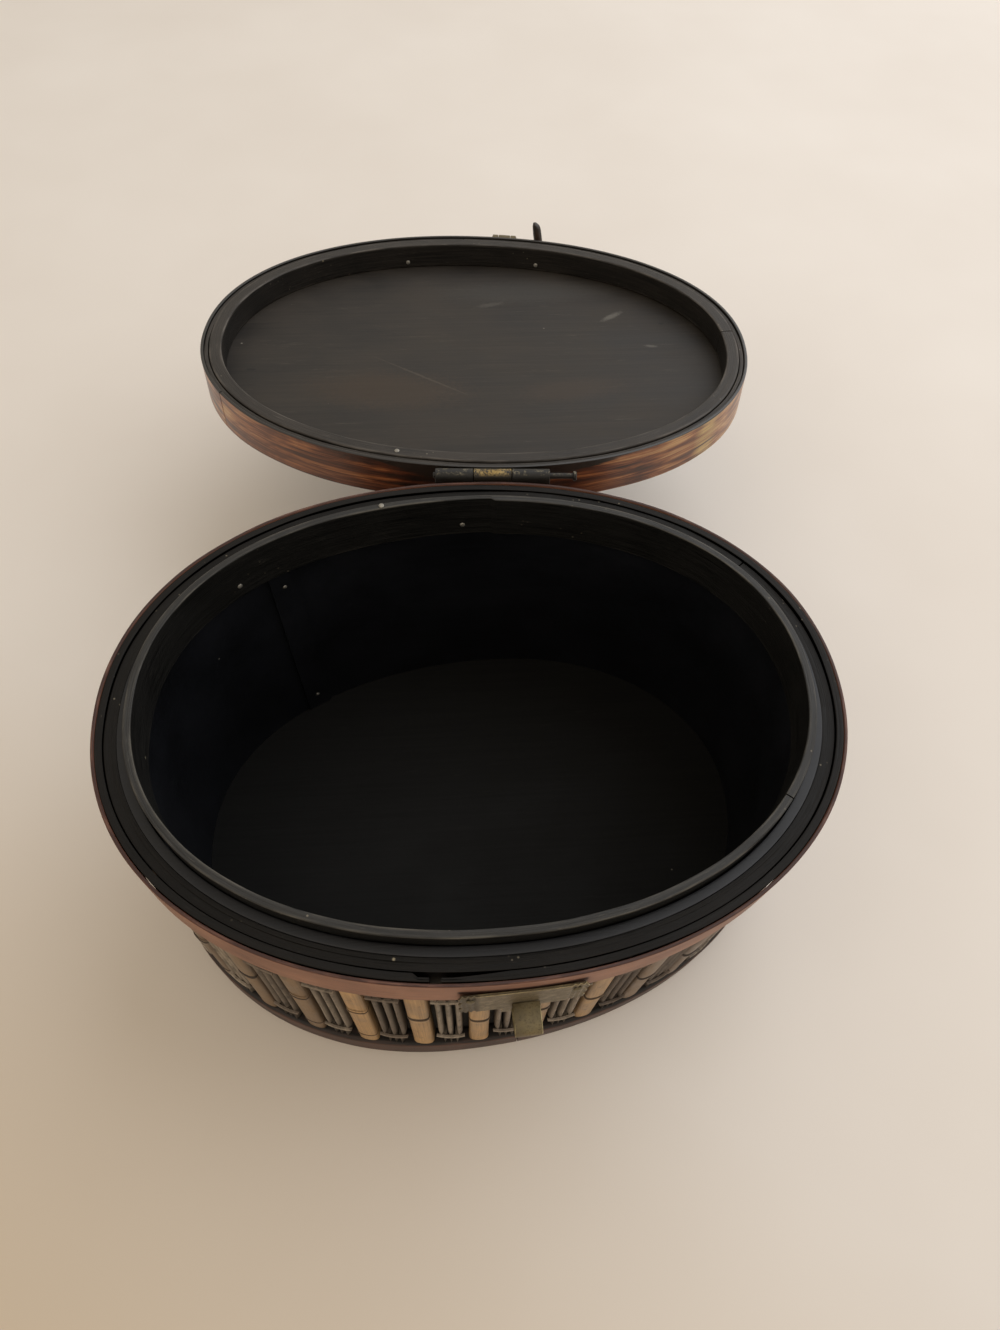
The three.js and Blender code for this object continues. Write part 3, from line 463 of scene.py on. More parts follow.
def dark_stain(name, dark, light, scuff, roughness, figured=0.5, shine=0.5, smears=()):
    """A stained board. Figured is the share of its grain against its clouds of age."""
    material, tree, shader = new_material(name)
    shader.inputs["Specular IOR Level"].default_value = shine
    place = object_coordinates(tree)
    figure = noise(tree, place, (60.0, 1.4, 1.4), 5.0, 0.6, 0.6)
    clouds = noise(tree, place, (48.0, 34.0, 34.0), 4.0, 0.6)
    tone = ramp(tree, mix(tree, figured, clouds, figure), [(0.36, dark), (0.64, light)])
    scratches = noise(tree, place, (22.0, 3.0, 3.0), 6.0, 0.72)
    tone = mix(tree, remap(tree, scratches, 0.6, 0.74, 0.0, 0.55), tone, scuff)
    tone = mix(tree, maths(tree, "MULTIPLY", chips(tree, place, 38.0, 2.2, 0.4), 0.5), tone, dark)
    tone = mix(tree, maths(tree, "MULTIPLY", chips(tree, place, 21.0, 0.5, 0.3), 0.6), tone, "#A29C90")
    for centre, reach, turn, paint, strength in smears:
        patch = maths(tree, "MULTIPLY", smear(tree, place, centre, reach, turn), strength)
        tone = mix(tree, patch, tone, paint)
    tree.links.new(tone, shader.inputs["Base Color"])
    tree.links.new(remap(tree, clouds, 0.3, 0.7, roughness - 0.05, roughness + 0.1),
                   shader.inputs["Roughness"])
    bump(tree, shader, figure, 0.1, 0.6)
    return material


# The wall's blue-black colours are black stain with a painted reflection of the window.
wall_stain_and_sheen = dark_stain("black_stained_veneer", "#07080B", "#12141A", "#23252C", 0.42)
floor_stain = dark_stain("black_stained_floor_board", "#090908", "#121211", "#1D1D1A", 0.65, shine=0.2)
lid_smears = [((-30, 178), (52, 20), -6, "#3B2E20", 0.6), ((55, 175), (34, 12), 8, "#392D21", 0.5),
              ((40, 262), (60, 14), 0, "#393733", 0.5), ((83.5, 237), (9, 2.4), 36, "#77746C", 0.45),
              ((99, 209.5), (5, 1.4), -8, "#706D65", 0.4), ((-13, 188), (34, 0.8), -37, "#5C5448", 0.3),
              ((22, 250), (10, 2.5), 15, "#55514A", 0.35), ((-94.5, 197.6), (3.4, 1.3), 4, "#0C0A08", 0.9),
              ((107.7, 229.3), (1.8, 1.3), 10, "#0C0A08", 0.9)]
panel_stain = dark_stain("dark_stained_lid_board", "#1B1713", "#322C25", "#4E483E", 0.6, figured=0.35,
                         smears=lid_smears)
print("stains made")

# %% [markdown]
# The rim band is a strip of thin bamboo stained a dull red, and the base band is the same in
# a much darker brown. Bamboo has fine straight fibres, and the stain pools between them. The
# rim's top edge is nearly black from the paint of the strips beside it, and the base band's top
# is nearly black as painted shade under the canes. A dark patch on the rim band just above the
# lock plate is painted as its shadow.

# %% Stained bamboo bands
def facing_up(tree, low=0.25, high=0.8):
    """How far a strip's side faces up as it was drawn."""
    return remap(tree, attribute(tree, "facing"), low, high)


def stained_band(name, dark, light, worn, top, roughness, painted_shadow_box=None):
    """Stained bamboo. An optional box, low and high corners in millimetres, gets painted shadow."""
    material, tree, shader = new_material(name)
    grain, place = grain_coordinates(tree), object_coordinates(tree)
    fibres = noise(tree, grain, (60.0, 0.7, 0.7), 4.0, 0.6, 0.2)
    clouds = noise(tree, place, (22.0, 22.0, 12.0), 4.0, 0.6)
    tone = ramp(tree, mix(tree, 0.5, fibres, clouds), [(0.36, dark), (0.62, light)])
    rubbed = maths(tree, "MULTIPLY", attribute(tree, "wear"), remap(tree, clouds, 0.42, 0.6, 0.2, 0.8))
    tone = mix(tree, rubbed, tone, worn)
    # The painted shadow of the lock plate's top edge on the rim band.
    if painted_shadow_box:
        parts = node(tree, "ShaderNodeSeparateXYZ", Vector=place)
        inside = [maths(tree, "MULTIPLY", remap(tree, parts.outputs[i], (low - 0.8) * MM, low * MM),
                        remap(tree, parts.outputs[i], high * MM, (high + 0.8) * MM, 1.0, 0.0))
                  for i, (low, high) in enumerate(zip(*painted_shadow_box))]
        darkening = maths(tree, "MULTIPLY", maths(tree, "MULTIPLY", inside[0], inside[1]), inside[2])
        tone = mix(tree, darkening, tone, top)
    # Upward sides take the top colour: paint on the rim band, painted shade on the base band.
    streaks = noise(tree, grain, (14.0, 1.5, 1.5), 4.0, 0.65)
    upward = maths(tree, "MULTIPLY", facing_up(tree), remap(tree, streaks, 0.34, 0.5, 0.55, 1.0))
    tree.links.new(mix(tree, upward, tone, top), shader.inputs["Base Color"])
    tree.links.new(remap(tree, fibres, 0.3, 0.7, roughness, roughness + 0.15), shader.inputs["Roughness"])
    bump(tree, shader, fibres, 0.15, 0.6)
    return material


# Where the lock plate's shadow is painted on the rim band.
above_lock_plate = (-10.0, -110.0, 107.0), (29.0, -80.0, 109.6)
rim_stain = stained_band("red_stained_bamboo_rim", "#6E4636", "#A0725B", "#6B3A28", "#3A1E15", 0.46,
                         above_lock_plate)
base_stain = stained_band("brown_stained_bamboo_base", "#2C1C17", "#54392F", "#6A4A3D", "#15100D", 0.5)

# %% [markdown]
# The lid's outer band is scorched bamboo. A flame is passed over the bare strip, which burns
# rust and dark brown streaks along it, black where it was held longest, and leaves islands of
# pale yellow. It is lacquered afterwards, so it is the glossiest wood on the box. The black
# paint of the hoops laps over its rim, and runs down its face on both sides of the hinge. One
# number, the heat, runs through one colour ramp, so that black and yellow meet by way of rust.

# %% Scorched bamboo
HINGE_RUN = PERIMETER / 2 - 13.0
LID_BAND_START = PERIMETER - 242.0
SCORCH = [(0.33, "#120D0A"), (0.4, "#35190F"), (0.48, "#6C3A21"), (0.55, "#A3683D"), (0.63, "#CFA26D")]
PAINT_REACH = 62.0
PAINT_DROP = 7.0
YELLOW_RUN = 248.0
BAND_OUTSIDE = 18.8


def distance_from(tree, along, run):
    """The distance along the band from a place on the wall, in millimetres."""
    first = run if run > LID_BAND_START else run + PERIMETER
    return maths(tree, "ABSOLUTE", maths(tree, "SUBTRACT", along, first), 0.0)


def scorched_bamboo():
    material, tree, shader = new_material("scorched_lacquered_bamboo")
    grain = grain_coordinates(tree)
    parts = node(tree, "ShaderNodeSeparateXYZ", Vector=grain)
    along, across = (maths(tree, "DIVIDE", parts.outputs[i], MM) for i in (0, 1))
    streaks = noise(tree, grain, (52.0, 1.9, 1.9), 5.0, 0.62, 0.6)
    flames = noise(tree, grain, (46.0, 12.0, 12.0), 4.0, 0.55, 1.1)
    fibres = noise(tree, grain, (50.0, 0.5, 0.5), 3.0)
    from_hinge = distance_from(tree, along, HINGE_RUN)
    from_yellow = distance_from(tree, along, YELLOW_RUN)
    burnt = maths(tree, "SUBTRACT", remap(tree, from_hinge, 15.0, 120.0, 0.1, 0.0),
                  remap(tree, from_yellow, 25.0, 100.0, 0.085, 0.0))
    heat = maths(tree, "ADD", maths(tree, "MULTIPLY", streaks, 0.5), maths(tree, "MULTIPLY", flames, 0.5))
    tone = ramp(tree, maths(tree, "SUBTRACT", heat, burnt), SCORCH)
    unburnt = remap(tree, from_yellow, 3.0, 9.0, 1.0, 0.0)
    pale = maths(tree, "MULTIPLY", unburnt, remap(tree, streaks, 0.4, 0.5))
    tone = mix(tree, pale, tone, "#C6A468")
    tone = mix(tree, remap(tree, fibres, 0.35, 0.6, 0.35, 0.0), tone, "#23150F")
    drop = remap(tree, from_hinge, 24.0, PAINT_REACH, PAINT_DROP, 0.2)
    ragged = maths(tree, "SUBTRACT", across, remap(tree, streaks, 0.35, 0.65, -1.2, 1.2))
    spilt = remap(tree, maths(tree, "SUBTRACT", ragged, drop), -0.3, 0.6, 1.0, 0.0)
    downward = remap(tree, attribute(tree, "facing"), -0.5, -0.1, 1.0, 0.0)
    inside = remap(tree, across, BAND_OUTSIDE, BAND_OUTSIDE + 0.4)
    painted = maths(tree, "MAXIMUM", maths(tree, "MAXIMUM", spilt, downward), inside)
    tone = mix(tree, painted, tone, "#1B1815")
    tree.links.new(tone, shader.inputs["Base Color"])
    shader.inputs["Roughness"].default_value = 0.36
    shader.inputs["Coat Weight"].default_value = 0.3
    shader.inputs["Coat Roughness"].default_value = 0.25
    bump(tree, shader, fibres, 0.12, 0.5)
    return material


scorched = scorched_bamboo()

# %% [markdown]
# The pillars are split canes with their skin on: tan yellow, a little green or brown from one
# cane to the next, with a dark ring at each node. The fret panels are thin sticks, grey-brown
# with dust and old glue. Each copy carries its own shade as an attribute, so that one material
# serves them all and no two are quite alike. The mark attribute adds painted shade: the sides
# of canes and sticks darken towards the back, and so do the node grooves, the cane feet and the
# sticks' ends.

# %% Canes and sticks
def split_cane(name, dark, light, aged, darkening, roughness, dirt_low, dirt_high):
    material, tree, shader = new_material(name)
    place = object_coordinates(tree)
    fibres = noise(tree, place, (0.5, 0.5, 45.0), 4.0, 0.6, 0.3)
    clouds = noise(tree, place, (9.0, 9.0, 14.0), 4.0, 0.6)
    base = ramp(tree, mix(tree, 0.5, fibres, clouds), [(0.34, dark), (0.62, light)])
    tone = mix(tree, remap(tree, attribute(tree, "shade"), 0.0, 1.0, 0.0, 0.95), base, aged)
    grime = remap(tree, noise(tree, place, (4.0, 4.0, 7.0), 5.0, 0.7), dirt_low, dirt_high, 0.0, 0.8)
    # The mark attribute brings dark node rings and painted shade, and the grime noise is dirt.
    ring = maths(tree, "MAXIMUM", maths(tree, "MULTIPLY", attribute(tree, "mark"), 0.9), grime)
    tree.links.new(mix(tree, ring, tone, darkening), shader.inputs["Base Color"])
    tree.links.new(remap(tree, clouds, 0.3, 0.7, roughness - 0.08, roughness + 0.12),
                   shader.inputs["Roughness"])
    bump(tree, shader, fibres, 0.12, 0.5)
    return material


cane = split_cane("split_bamboo_cane", "#8F6C42", "#D2A974", "#665342", "#1E130D", 0.45, 0.56, 0.78)
stick = split_cane("weathered_bamboo_sticks", "#75695E", "#B3A593", "#5E5045", "#120D0A", 0.58, 0.46, 0.72)


def backing_cloth():
    """A coarse cloth behind the sticks, nearly black as painted shade, that shows only between them."""
    material, tree, shader = new_material("glued_backing_cloth")
    grain = grain_coordinates(tree)
    threads = noise(tree, grain, (0.8, 0.8, 0.8), 2.0)
    tree.links.new(ramp(tree, threads, [(0.35, "#0B0908"), (0.65, "#1A1511")]), shader.inputs["Base Color"])
    shader.inputs["Roughness"].default_value = 0.85
    bump(tree, shader, threads, 0.3)
    return material


cloth = backing_cloth()

# %% [markdown]
# The fittings are cut from thin brass sheet and never polished. Handling keeps the edges and
# the high spots pale, while the flats go olive and brown. The hinge was painted over with the
# rim, and its knuckles have rubbed through to gold on top, which also carries a painted
# highlight. The nails and pins are iron. Where the patina or paint covers the metal the shader
# is hardly metallic, which keeps it dull.

# %% Aged brass and iron
def aged_metal(name, bare, patina, deep, bright, roughness, cover, metallic=0.3, worn_from=0.4,
               darker_left_of=None):
    """Metal under a patina or paint where noise is above cover, but not where it is worn.

    Two places along X, in millimetres, may be given: it is darker to the left of the first,
    fading out at the second.
    """
    material, tree, shader = new_material(name)
    place = object_coordinates(tree)
    spots = noise(tree, place, (3.2, 3.2, 3.2), 6.0, 0.65)
    grit = noise(tree, place, (0.7, 0.7, 0.7), 4.0, 0.6)
    rubbed = remap(tree, mix(tree, 0.5, spots, grit), worn_from, worn_from + 0.12)
    worn = maths(tree, "MULTIPLY", attribute(tree, "wear"), rubbed)
    # Darker to the left: painted shade on the staple's shaded side, and a darker end on the lock plate.
    if darker_left_of:
        side = node(tree, "ShaderNodeSeparateXYZ", Vector=place).outputs[0]
        darkening = remap(tree, side, darker_left_of[0] * MM, darker_left_of[1] * MM, 0.65, 0.0)
        worn = maths(tree, "MULTIPLY", worn, maths(tree, "SUBTRACT", 1.0, darkening))
    unworn = maths(tree, "SUBTRACT", 1.0, worn)
    covered = maths(tree, "MULTIPLY", remap(tree, spots, cover, cover + 0.2), unworn)
    tone = mix(tree, covered, bare, patina)
    tone = mix(tree, remap(tree, grit, 0.52, 0.68, 0.0, 0.7), tone, deep)
    if darker_left_of:
        tone = mix(tree, darkening, tone, deep)
    hue = remap(tree, noise(tree, place, (11.0, 11.0, 11.0), 2.0), 0.42, 0.56, 0.0, 0.7)
    tree.links.new(mix(tree, worn, tone, mix(tree, hue, bright, bare)), shader.inputs["Base Color"])
    tree.links.new(remap(tree, covered, 0.0, 1.0, 0.85, metallic), shader.inputs["Metallic"])
    tree.links.new(remap(tree, spots, 0.3, 0.7, roughness, roughness + 0.2), shader.inputs["Roughness"])
    bump(tree, shader, grit, 0.1, 0.6)
    return material


brass = aged_metal("aged_sheet_brass", "#93876A", "#6B614A", "#3B3427", "#D2C79C", 0.4, 0.3)
# The lock plate darkens towards its left end, and the staple's left side darkens as painted shade.
plate_brass = aged_metal("aged_sheet_brass_with_dirty_end", "#8E8166", "#6F6450", "#3D3529", "#CDBF93",
                         0.42, 0.3, darker_left_of=(-4.5, -3.5))
staple_brass = aged_metal("handled_staple_brass", "#877B5E", "#756A50", "#554B38", "#CDC296",
                          0.38, 0.4, darker_left_of=(6.2, 11.5))
black_hinge = aged_metal("black_painted_hinge", "#6F6857", "#161411", "#0F0D0B", "#A59C86",
                         0.45, 0.05, 0.0, 0.53)
gold_hinge = aged_metal("black_painted_hinge_rubbed_to_gold", "#9A7D40", "#221D15", "#14120F", "#B8A476",
                        0.42, 0.05, 0.0, 0.47)
iron = aged_metal("dark_iron_wire", "#6F6A64", "#34302C", "#211D1A", "#A8A299", 0.45, 0.3)
pale_iron = aged_metal("rubbed_iron_nail_heads", "#A8A49A", "#8B877E", "#5A554C", "#D8D4C8", 0.4, 0.4)


def peg_wood():
    """A whittled hardwood peg, black from handling, with the knife's facets a little paler."""
    material, tree, shader = new_material("handled_black_peg_wood")
    place = object_coordinates(tree)
    grain = noise(tree, place, (0.6, 0.6, 12.0), 4.0, 0.6)
    tree.links.new(ramp(tree, grain, [(0.35, "#120D0A"), (0.65, "#33261D")]), shader.inputs["Base Color"])
    shader.inputs["Roughness"].default_value = 0.5
    bump(tree, shader, grain, 0.1)
    return material


dark_peg = peg_wood()
print("metals made")

# %% [markdown]
# The strips of the body lie one inside the next with a hair's gap between them. From outside
# in: the red rim band, two black ledge strips that the lid rests on, the inner wall, and
# inside it a lip that stands up to locate the lid. Paint and filler join the inner ledge strip
# to the skin behind the canes, so that it is drawn out to the wall and covers the skin's edge.

# %% Thicknesses and places of the strips
GAP = 0.3
RIM_BAND_THICK, RIM_BAND_HEIGHT = 1.2, 18.0
LEDGE_THICK, INNER_LEDGE_DROP = 2.6, 0.7
BACKING_THICK, BACKING_DROP = 1.2, 0.5
WALL_THICK = 3.3
LIP_THICK, LIP_RISE, LIP_HEIGHT = 2.8, 6.2, 20.0
BASE_THICK, BASE_BAND_HEIGHT = 6.0, 14.0
LEDGE_JOINT, LEDGE_JOINT_PLACE = 3.6, -17.0
JOINT_GAP = 0.6
BASE_JOINT_PLACE = 12.0
LIP_SCARF_PLACE = 353.0

outer_ledge_out = -RIM_BAND_THICK - GAP
outer_ledge_in = outer_ledge_out - LEDGE_THICK
inner_ledge_out = outer_ledge_in - GAP
inner_ledge_in = inner_ledge_out - LEDGE_THICK
backing_out = inner_ledge_in - GAP
backing_in = backing_out - BACKING_THICK
wall_out = backing_in - GAP
wall_in = wall_out - WALL_THICK
lip_out = wall_in - GAP
lip_in = lip_out - LIP_THICK
rim_band_low = RIM_HEIGHT - RIM_BAND_HEIGHT
lip_low = RIM_HEIGHT + LIP_RISE - LIP_HEIGHT
lip_high = RIM_HEIGHT + LIP_RISE
EASED, HAIR = 0.28, 0.2


# %% [markdown]
# A hoop is a strip whose ends meet in a joint, and the joints show an old hoop's age. Most are
# narrow slits. The outer ledge strip has sprung open at its joint, and the lip's end was shaved
# to a thin scarf. Each of these two is a small function of the distance round the wall, which
# says how much is shaved off the strip's inner side.

# %% Hoops and their joints
def add_strip(name, bounds, body, material, slot, replaced, **how):
    """Makes a bent strip a piece of the box or the lid. Bounds are outer, inner, low and high."""
    obj = new_object(name, strip(name, rounded(*bounds, how.pop("radius", EASED)), **how))
    return finish_piece(obj, body, material, replaced)


def joint_ends(place, gap=JOINT_GAP):
    """Where a split hoop starts and ends, for a joint at a distance round the wall."""
    return {"start": place + gap / 2, "end": place + PERIMETER - gap / 2}


def sprung_joint(runs):
    """The outer ledge strip has sprung a little off the inner one beside its open joint."""
    near = (runs - LEDGE_JOINT_PLACE + PERIMETER / 2) % PERIMETER - PERIMETER / 2
    return 1.2 * np.clip(np.minimum((near + 7) / 1.5, (22 - near) / 17), 0, 1)


def lip_scarf(runs):
    """The lip's end is shaved to a thin scarf and steps back to its full width at the joint."""
    past = (runs - LIP_SCARF_PLACE) % PERIMETER
    return np.where(past < 45, 1.0 - past / 45, 0.0)


# %% [markdown]
# With the sizes and the joints known, each strip is one call, which says where it lies, what it
# is made of and which seed its wander has. The bottom board comes last.

# %% Body strips
add_strip("red_rim_band", (0.0, -RIM_BAND_THICK, rim_band_low, RIM_HEIGHT), "box", rim_stain,
          "rim_band_bamboo", ["rim_band"], seed=3, sway=0.12, lift=0.25, radius=0.35)
add_strip("outer_ledge_strip", (outer_ledge_out, outer_ledge_in, rim_band_low, RIM_HEIGHT), "box",
          ledge_paint, "black_painted_wood", ["ledge_hoop_outer"], seed=5, sway=0.08, lift=0.25,
          thin=sprung_joint, **joint_ends(LEDGE_JOINT_PLACE, LEDGE_JOINT))
add_strip("inner_ledge_strip", (inner_ledge_out, backing_in, rim_band_low, RIM_HEIGHT - INNER_LEDGE_DROP),
          "box", ledge_paint, "black_painted_wood", ["ledge_hoop_inner"], seed=6, sway=0.08, lift=0.3,
          radius=0.2, **joint_ends(PERIMETER / 3))
add_strip("skin_behind_canes",
          (backing_out + HAIR, backing_in - HAIR, BASE_THICK, RIM_HEIGHT - BACKING_DROP), "box",
          ledge_paint, "dark_wood", ["backing_wall"], seed=7, sway=0.03, lift=0.2, radius=0.1)
add_strip("inner_wall_sheet", (wall_out, wall_in, BASE_THICK, RIM_HEIGHT - GAP), "box", wall_stain_and_sheen,
          "black_painted_wood", ["inner_wall"], seed=8, sway=0.0, lift=0.2, radius=0.15)
add_strip("raised_lip", (lip_out, lip_in, lip_low, lip_high), "box", lip_paint, "black_painted_wood",
          ["rim_lip_hoop"], seed=9, sway=0.1, lift=0.25, radius=0.45, thin=lip_scarf,
          **joint_ends(PERIMETER / 6))
add_strip("base_moulding", (0.0, inner_ledge_in, 0.0, BASE_BAND_HEIGHT), "box", base_stain,
          "base_band_wood", ["base_band"], seed=10, sway=0.2, lift=0.3, radius=1.4,
          **joint_ends(BASE_JOINT_PLACE))
bottom = board("bottom_board", backing_out, 0.0, BASE_THICK, 0.4)
finish_piece(new_object("bottom_board", bottom), "box", floor_stain, ["base_board"])

# %% [markdown]
# A batten covers the seam where the ends of the inner wall meet. It is a thin slip of the same
# wood, nailed at both ends. A short stretch of bent strip makes it, so it follows the wall.

# %% Seam batten
BATTEN_WIDTH, BATTEN_THICK, BATTEN_PLACE = 13.0, 0.9, -283.0
batten_run = PERIMETER + BATTEN_PLACE
batten_in = wall_in - GAP - BATTEN_THICK
batten_low, batten_high = BASE_THICK + GAP, lip_low - GAP
add_strip("seam_cover", (wall_in - GAP, batten_in, batten_low, batten_high), "box", wall_stain_and_sheen,
          "dark_wood", ["seam_batten"], start=batten_run - BATTEN_WIDTH / 2,
          end=batten_run + BATTEN_WIDTH / 2, radius=0.3, sway=0.0, lift=0.0)

# %% [markdown]
# The walls' dress is thirty-four half-round canes with a small fret of sticks between each two.
# An array of one cane would repeat too plainly, so the canes and frets are drawn in a few
# patterns of real size. Geometry Nodes then set a pattern at every place on the wall, give it a
# shade of its own and turn the whole ring into one real mesh.

# %% Sizes of the canes and frets
PAIR_COUNT = 34
PILLAR_PLACE, PILLAR_RECESS = -3.5, 1.3
PANEL_WIDTH, PANEL_RECESS, PANEL_HEIGHT = 11.0, 1.9, 71.0
LOW_STICK, TOP_STICK_DROP, STICK_COUNT, SLAT_ROOM = 13.5, 0.7, 3, 0.4
slat_back = inner_ledge_in + SLAT_ROOM
slat_low = BASE_BAND_HEIGHT + GAP
slat_high = rim_band_low - GAP
cane_height = slat_high - slat_low


class Drawing:
    """Points, faces and marks of one pattern, gathered piece by piece."""

    def __init__(self):
        self.points, self.faces, self.marks = [], [], []

    def add(self, points, faces, marks):
        first = len(self.points)
        self.points += [tuple(p) for p in points]
        self.faces += [tuple(first + i for i in face) for face in faces]
        self.marks += list(marks)

    def mesh(self, name):
        mesh = bpy.data.meshes.new(name)
        mesh.from_pydata(self.points, [], self.faces)
        set_floats(mesh, "mark", self.marks)
        mesh.shade_smooth()
        mesh.set_sharp_from_angle(angle=SMOOTH_ANGLE)
        return mesh


# %% [markdown]
# A cane was split from a thick culm, so it isn't quite half round. It is a little fuller below
# each node, where a dark ring shows. A curve with a taper could swell like that, but couldn't
# carry the dark marks, so a cane is a list of levels from foot to head, each with its swell and
# how dark it is.

# %% Half-round canes
def half_round(drawing, centre, half_width, depth, levels, arc=8, flat=1.0):
    """A half-round stick standing at x = centre. Levels are (height, swell, mark, bow outward).

    A flat below 1 squares the round, as on a cane that was split from a thick culm. Its sides
    are marked dark towards the back, as painted shade in the gaps beside it.
    """
    angles = [math.pi * i / arc for i in range(arc + 1)]
    points, marks = [], []
    for height, swell, mark, bow in levels:
        for a in angles:
            out = math.sin(a) ** flat
            across = centre - math.cos(a) * (half_width + swell * 0.5)
            points.append((across, -out * (depth + swell) - bow, height))
            marks.append(max(mark, 1.0 - out * out))
    size, faces = len(angles), []
    for i in range(len(levels) - 1):
        for j in range(size):
            k = (j + 1) % size
            faces.append((i * size + j, i * size + k, (i + 1) * size + k, (i + 1) * size + j))
    last = (len(levels) - 1) * size
    faces.append(tuple(reversed(range(size))))
    faces.append(tuple(last + j for j in range(size)))
    drawing.add(points, faces, marks)


# Marks: the foot's lowest level is painted shade above the base band, each node's groove is a dark ring
# deepened by painted shade, and the head's top level is darker.
CANE_FOOT = [(0, 0.1, 0.7, 0), (0.5, 0.3, 0.3, 0), (1.6, 0.35, 0.05, 0), (6, 0.2, 0, 0)]
CANE_NODE = [(-6, 0.0, 0), (-2.2, 0.2, 0), (-1.1, 0.45, 0.1), (-0.7, 0.4, 0.9), (-0.5, -0.2, 1),
             (0.7, -0.25, 1), (1.0, 0.05, 0.5), (2.0, 0.1, 0)]
CANE_HEAD = [(-2, -0.2, 0.1), (0, -0.2, 0.6)]


def cane_pattern(name, rings, width):
    """A cane of real size, with nodes at the given shares of its height.

    The foot's levels are those of half_round. A node's and the head's are heights from the ring
    or from the top, swell and mark.
    """
    depth = -PILLAR_RECESS - slat_back
    levels = list(CANE_FOOT)
    for share in rings:
        levels += [(share * cane_height + rise, swell, mark, 0) for rise, swell, mark in CANE_NODE]
    levels += [(cane_height + rise, swell, mark, 0) for rise, swell, mark in CANE_HEAD]
    drawing = Drawing()
    half_round(drawing, 0.0, width / 2, depth, levels, arc=14, flat=0.22)
    return drawing.mesh(name)


# %% [markdown]
# A fret is a row of upright sticks under a stick that dips in the middle, with a lower one
# across their feet. They were split and set by hand, so their widths and places vary a little,
# and each pattern has its own seed.

# %% Frets of thin sticks
def cross_stick(drawing, half, out, height, radius, mark, dip=0.0, bulge=0.0, steps=9, sides=6):
    """A thin round stick across a fret. Its middle dips, and bulges outward."""
    points = []
    for x in np.linspace(-half, half, steps):
        middle = 1 - (x / half) ** 2
        for a in np.arange(sides) * 2 * math.pi / sides:
            points.append((x, -out - bulge * middle - radius * math.cos(a),
                           height - dip * middle + radius * math.sin(a)))
    last = sides * (steps - 1)
    faces = [tuple(range(sides)), tuple(last + j for j in reversed(range(sides)))]
    for i in range(steps - 1):
        for j in range(sides):
            k = (j + 1) % sides
            faces.append((i * sides + j, (i + 1) * sides + j, (i + 1) * sides + k, i * sides + k))
    drawing.add(points, faces, [mark] * len(points))


def fret_pattern(name, seed):
    """Upright sticks between a dipped top stick and a low one on stubs darkened as painted shadow."""
    rng = np.random.default_rng(seed)
    front = -PANEL_RECESS - slat_back
    half = PANEL_WIDTH / 2
    drawing = Drawing()
    step = (PANEL_WIDTH - 0.2) / STICK_COUNT
    foot, top = LOW_STICK, PANEL_HEIGHT - TOP_STICK_DROP
    shares, bows = (0.0, 0.15, 0.4, 0.97, 1.0), (0.5, 0.5, 0.25, 0.0, 0.0)
    # The sticks' ends are marked dark, as painted shade at the cross sticks.
    marks = (0.5, 0.1, 0.0, 0.0, 1.0)
    for i in range(STICK_COUNT):
        levels = [(foot + (top - foot) * share, rng.uniform(-0.12, 0.12), mark, bow)
                  for share, mark, bow in zip(shares, marks, bows)]
        centre = step * (i - 1) * rng.uniform(0.94, 1.0) + rng.uniform(-0.12, 0.12)
        half_round(drawing, centre, step * rng.uniform(0.3, 0.37), front - 0.3, levels, arc=6, flat=0.7)
    cross_stick(drawing, half * 0.95, front + 0.2, foot, 0.7, 0.0, dip=1.0, bulge=0.4)
    stub = [(0, 0, 0.8, 0.6), (foot - 0.8, 0, 0.5, 0.5)]
    for i in range(STICK_COUNT):
        half_round(drawing, half * 0.42 * (i - 1), half * 0.17, front + 0.1, stub, arc=4)
    cross_stick(drawing, half, front - 0.4, top, 0.8, 0.0, dip=1.2)
    return drawing.mesh(name)


# %% [markdown]
# Five canes and four frets are enough for the whole ring, because each copy has its own shade
# as well. The canes differ in their width and in where their nodes are.

# %% The patterns
cane_looks = [((0.42, 0.88), 7.4), ((0.54,), 7.7), ((0.58, 0.12), 7.6), ((0.34, 0.80), 7.5), ((0.47,), 7.3)]
cane_patterns = [cane_pattern(f"cane_{i + 1}", *look) for i, look in enumerate(cane_looks)]
fret_patterns = [fret_pattern(f"fret_{i + 1}", 20 + i) for i in range(4)]
print("patterns:", len(cane_patterns), "canes and", len(fret_patterns), "frets")

# %% [markdown]
# The tree takes points that already say which pattern they want, how they are turned and how
# dark they are. It sets the pattern there, scales it a little at random, makes the copies real
# and gives them their finish. Its sizes are named inputs, so that one tree serves canes, frets
# and nails alike.

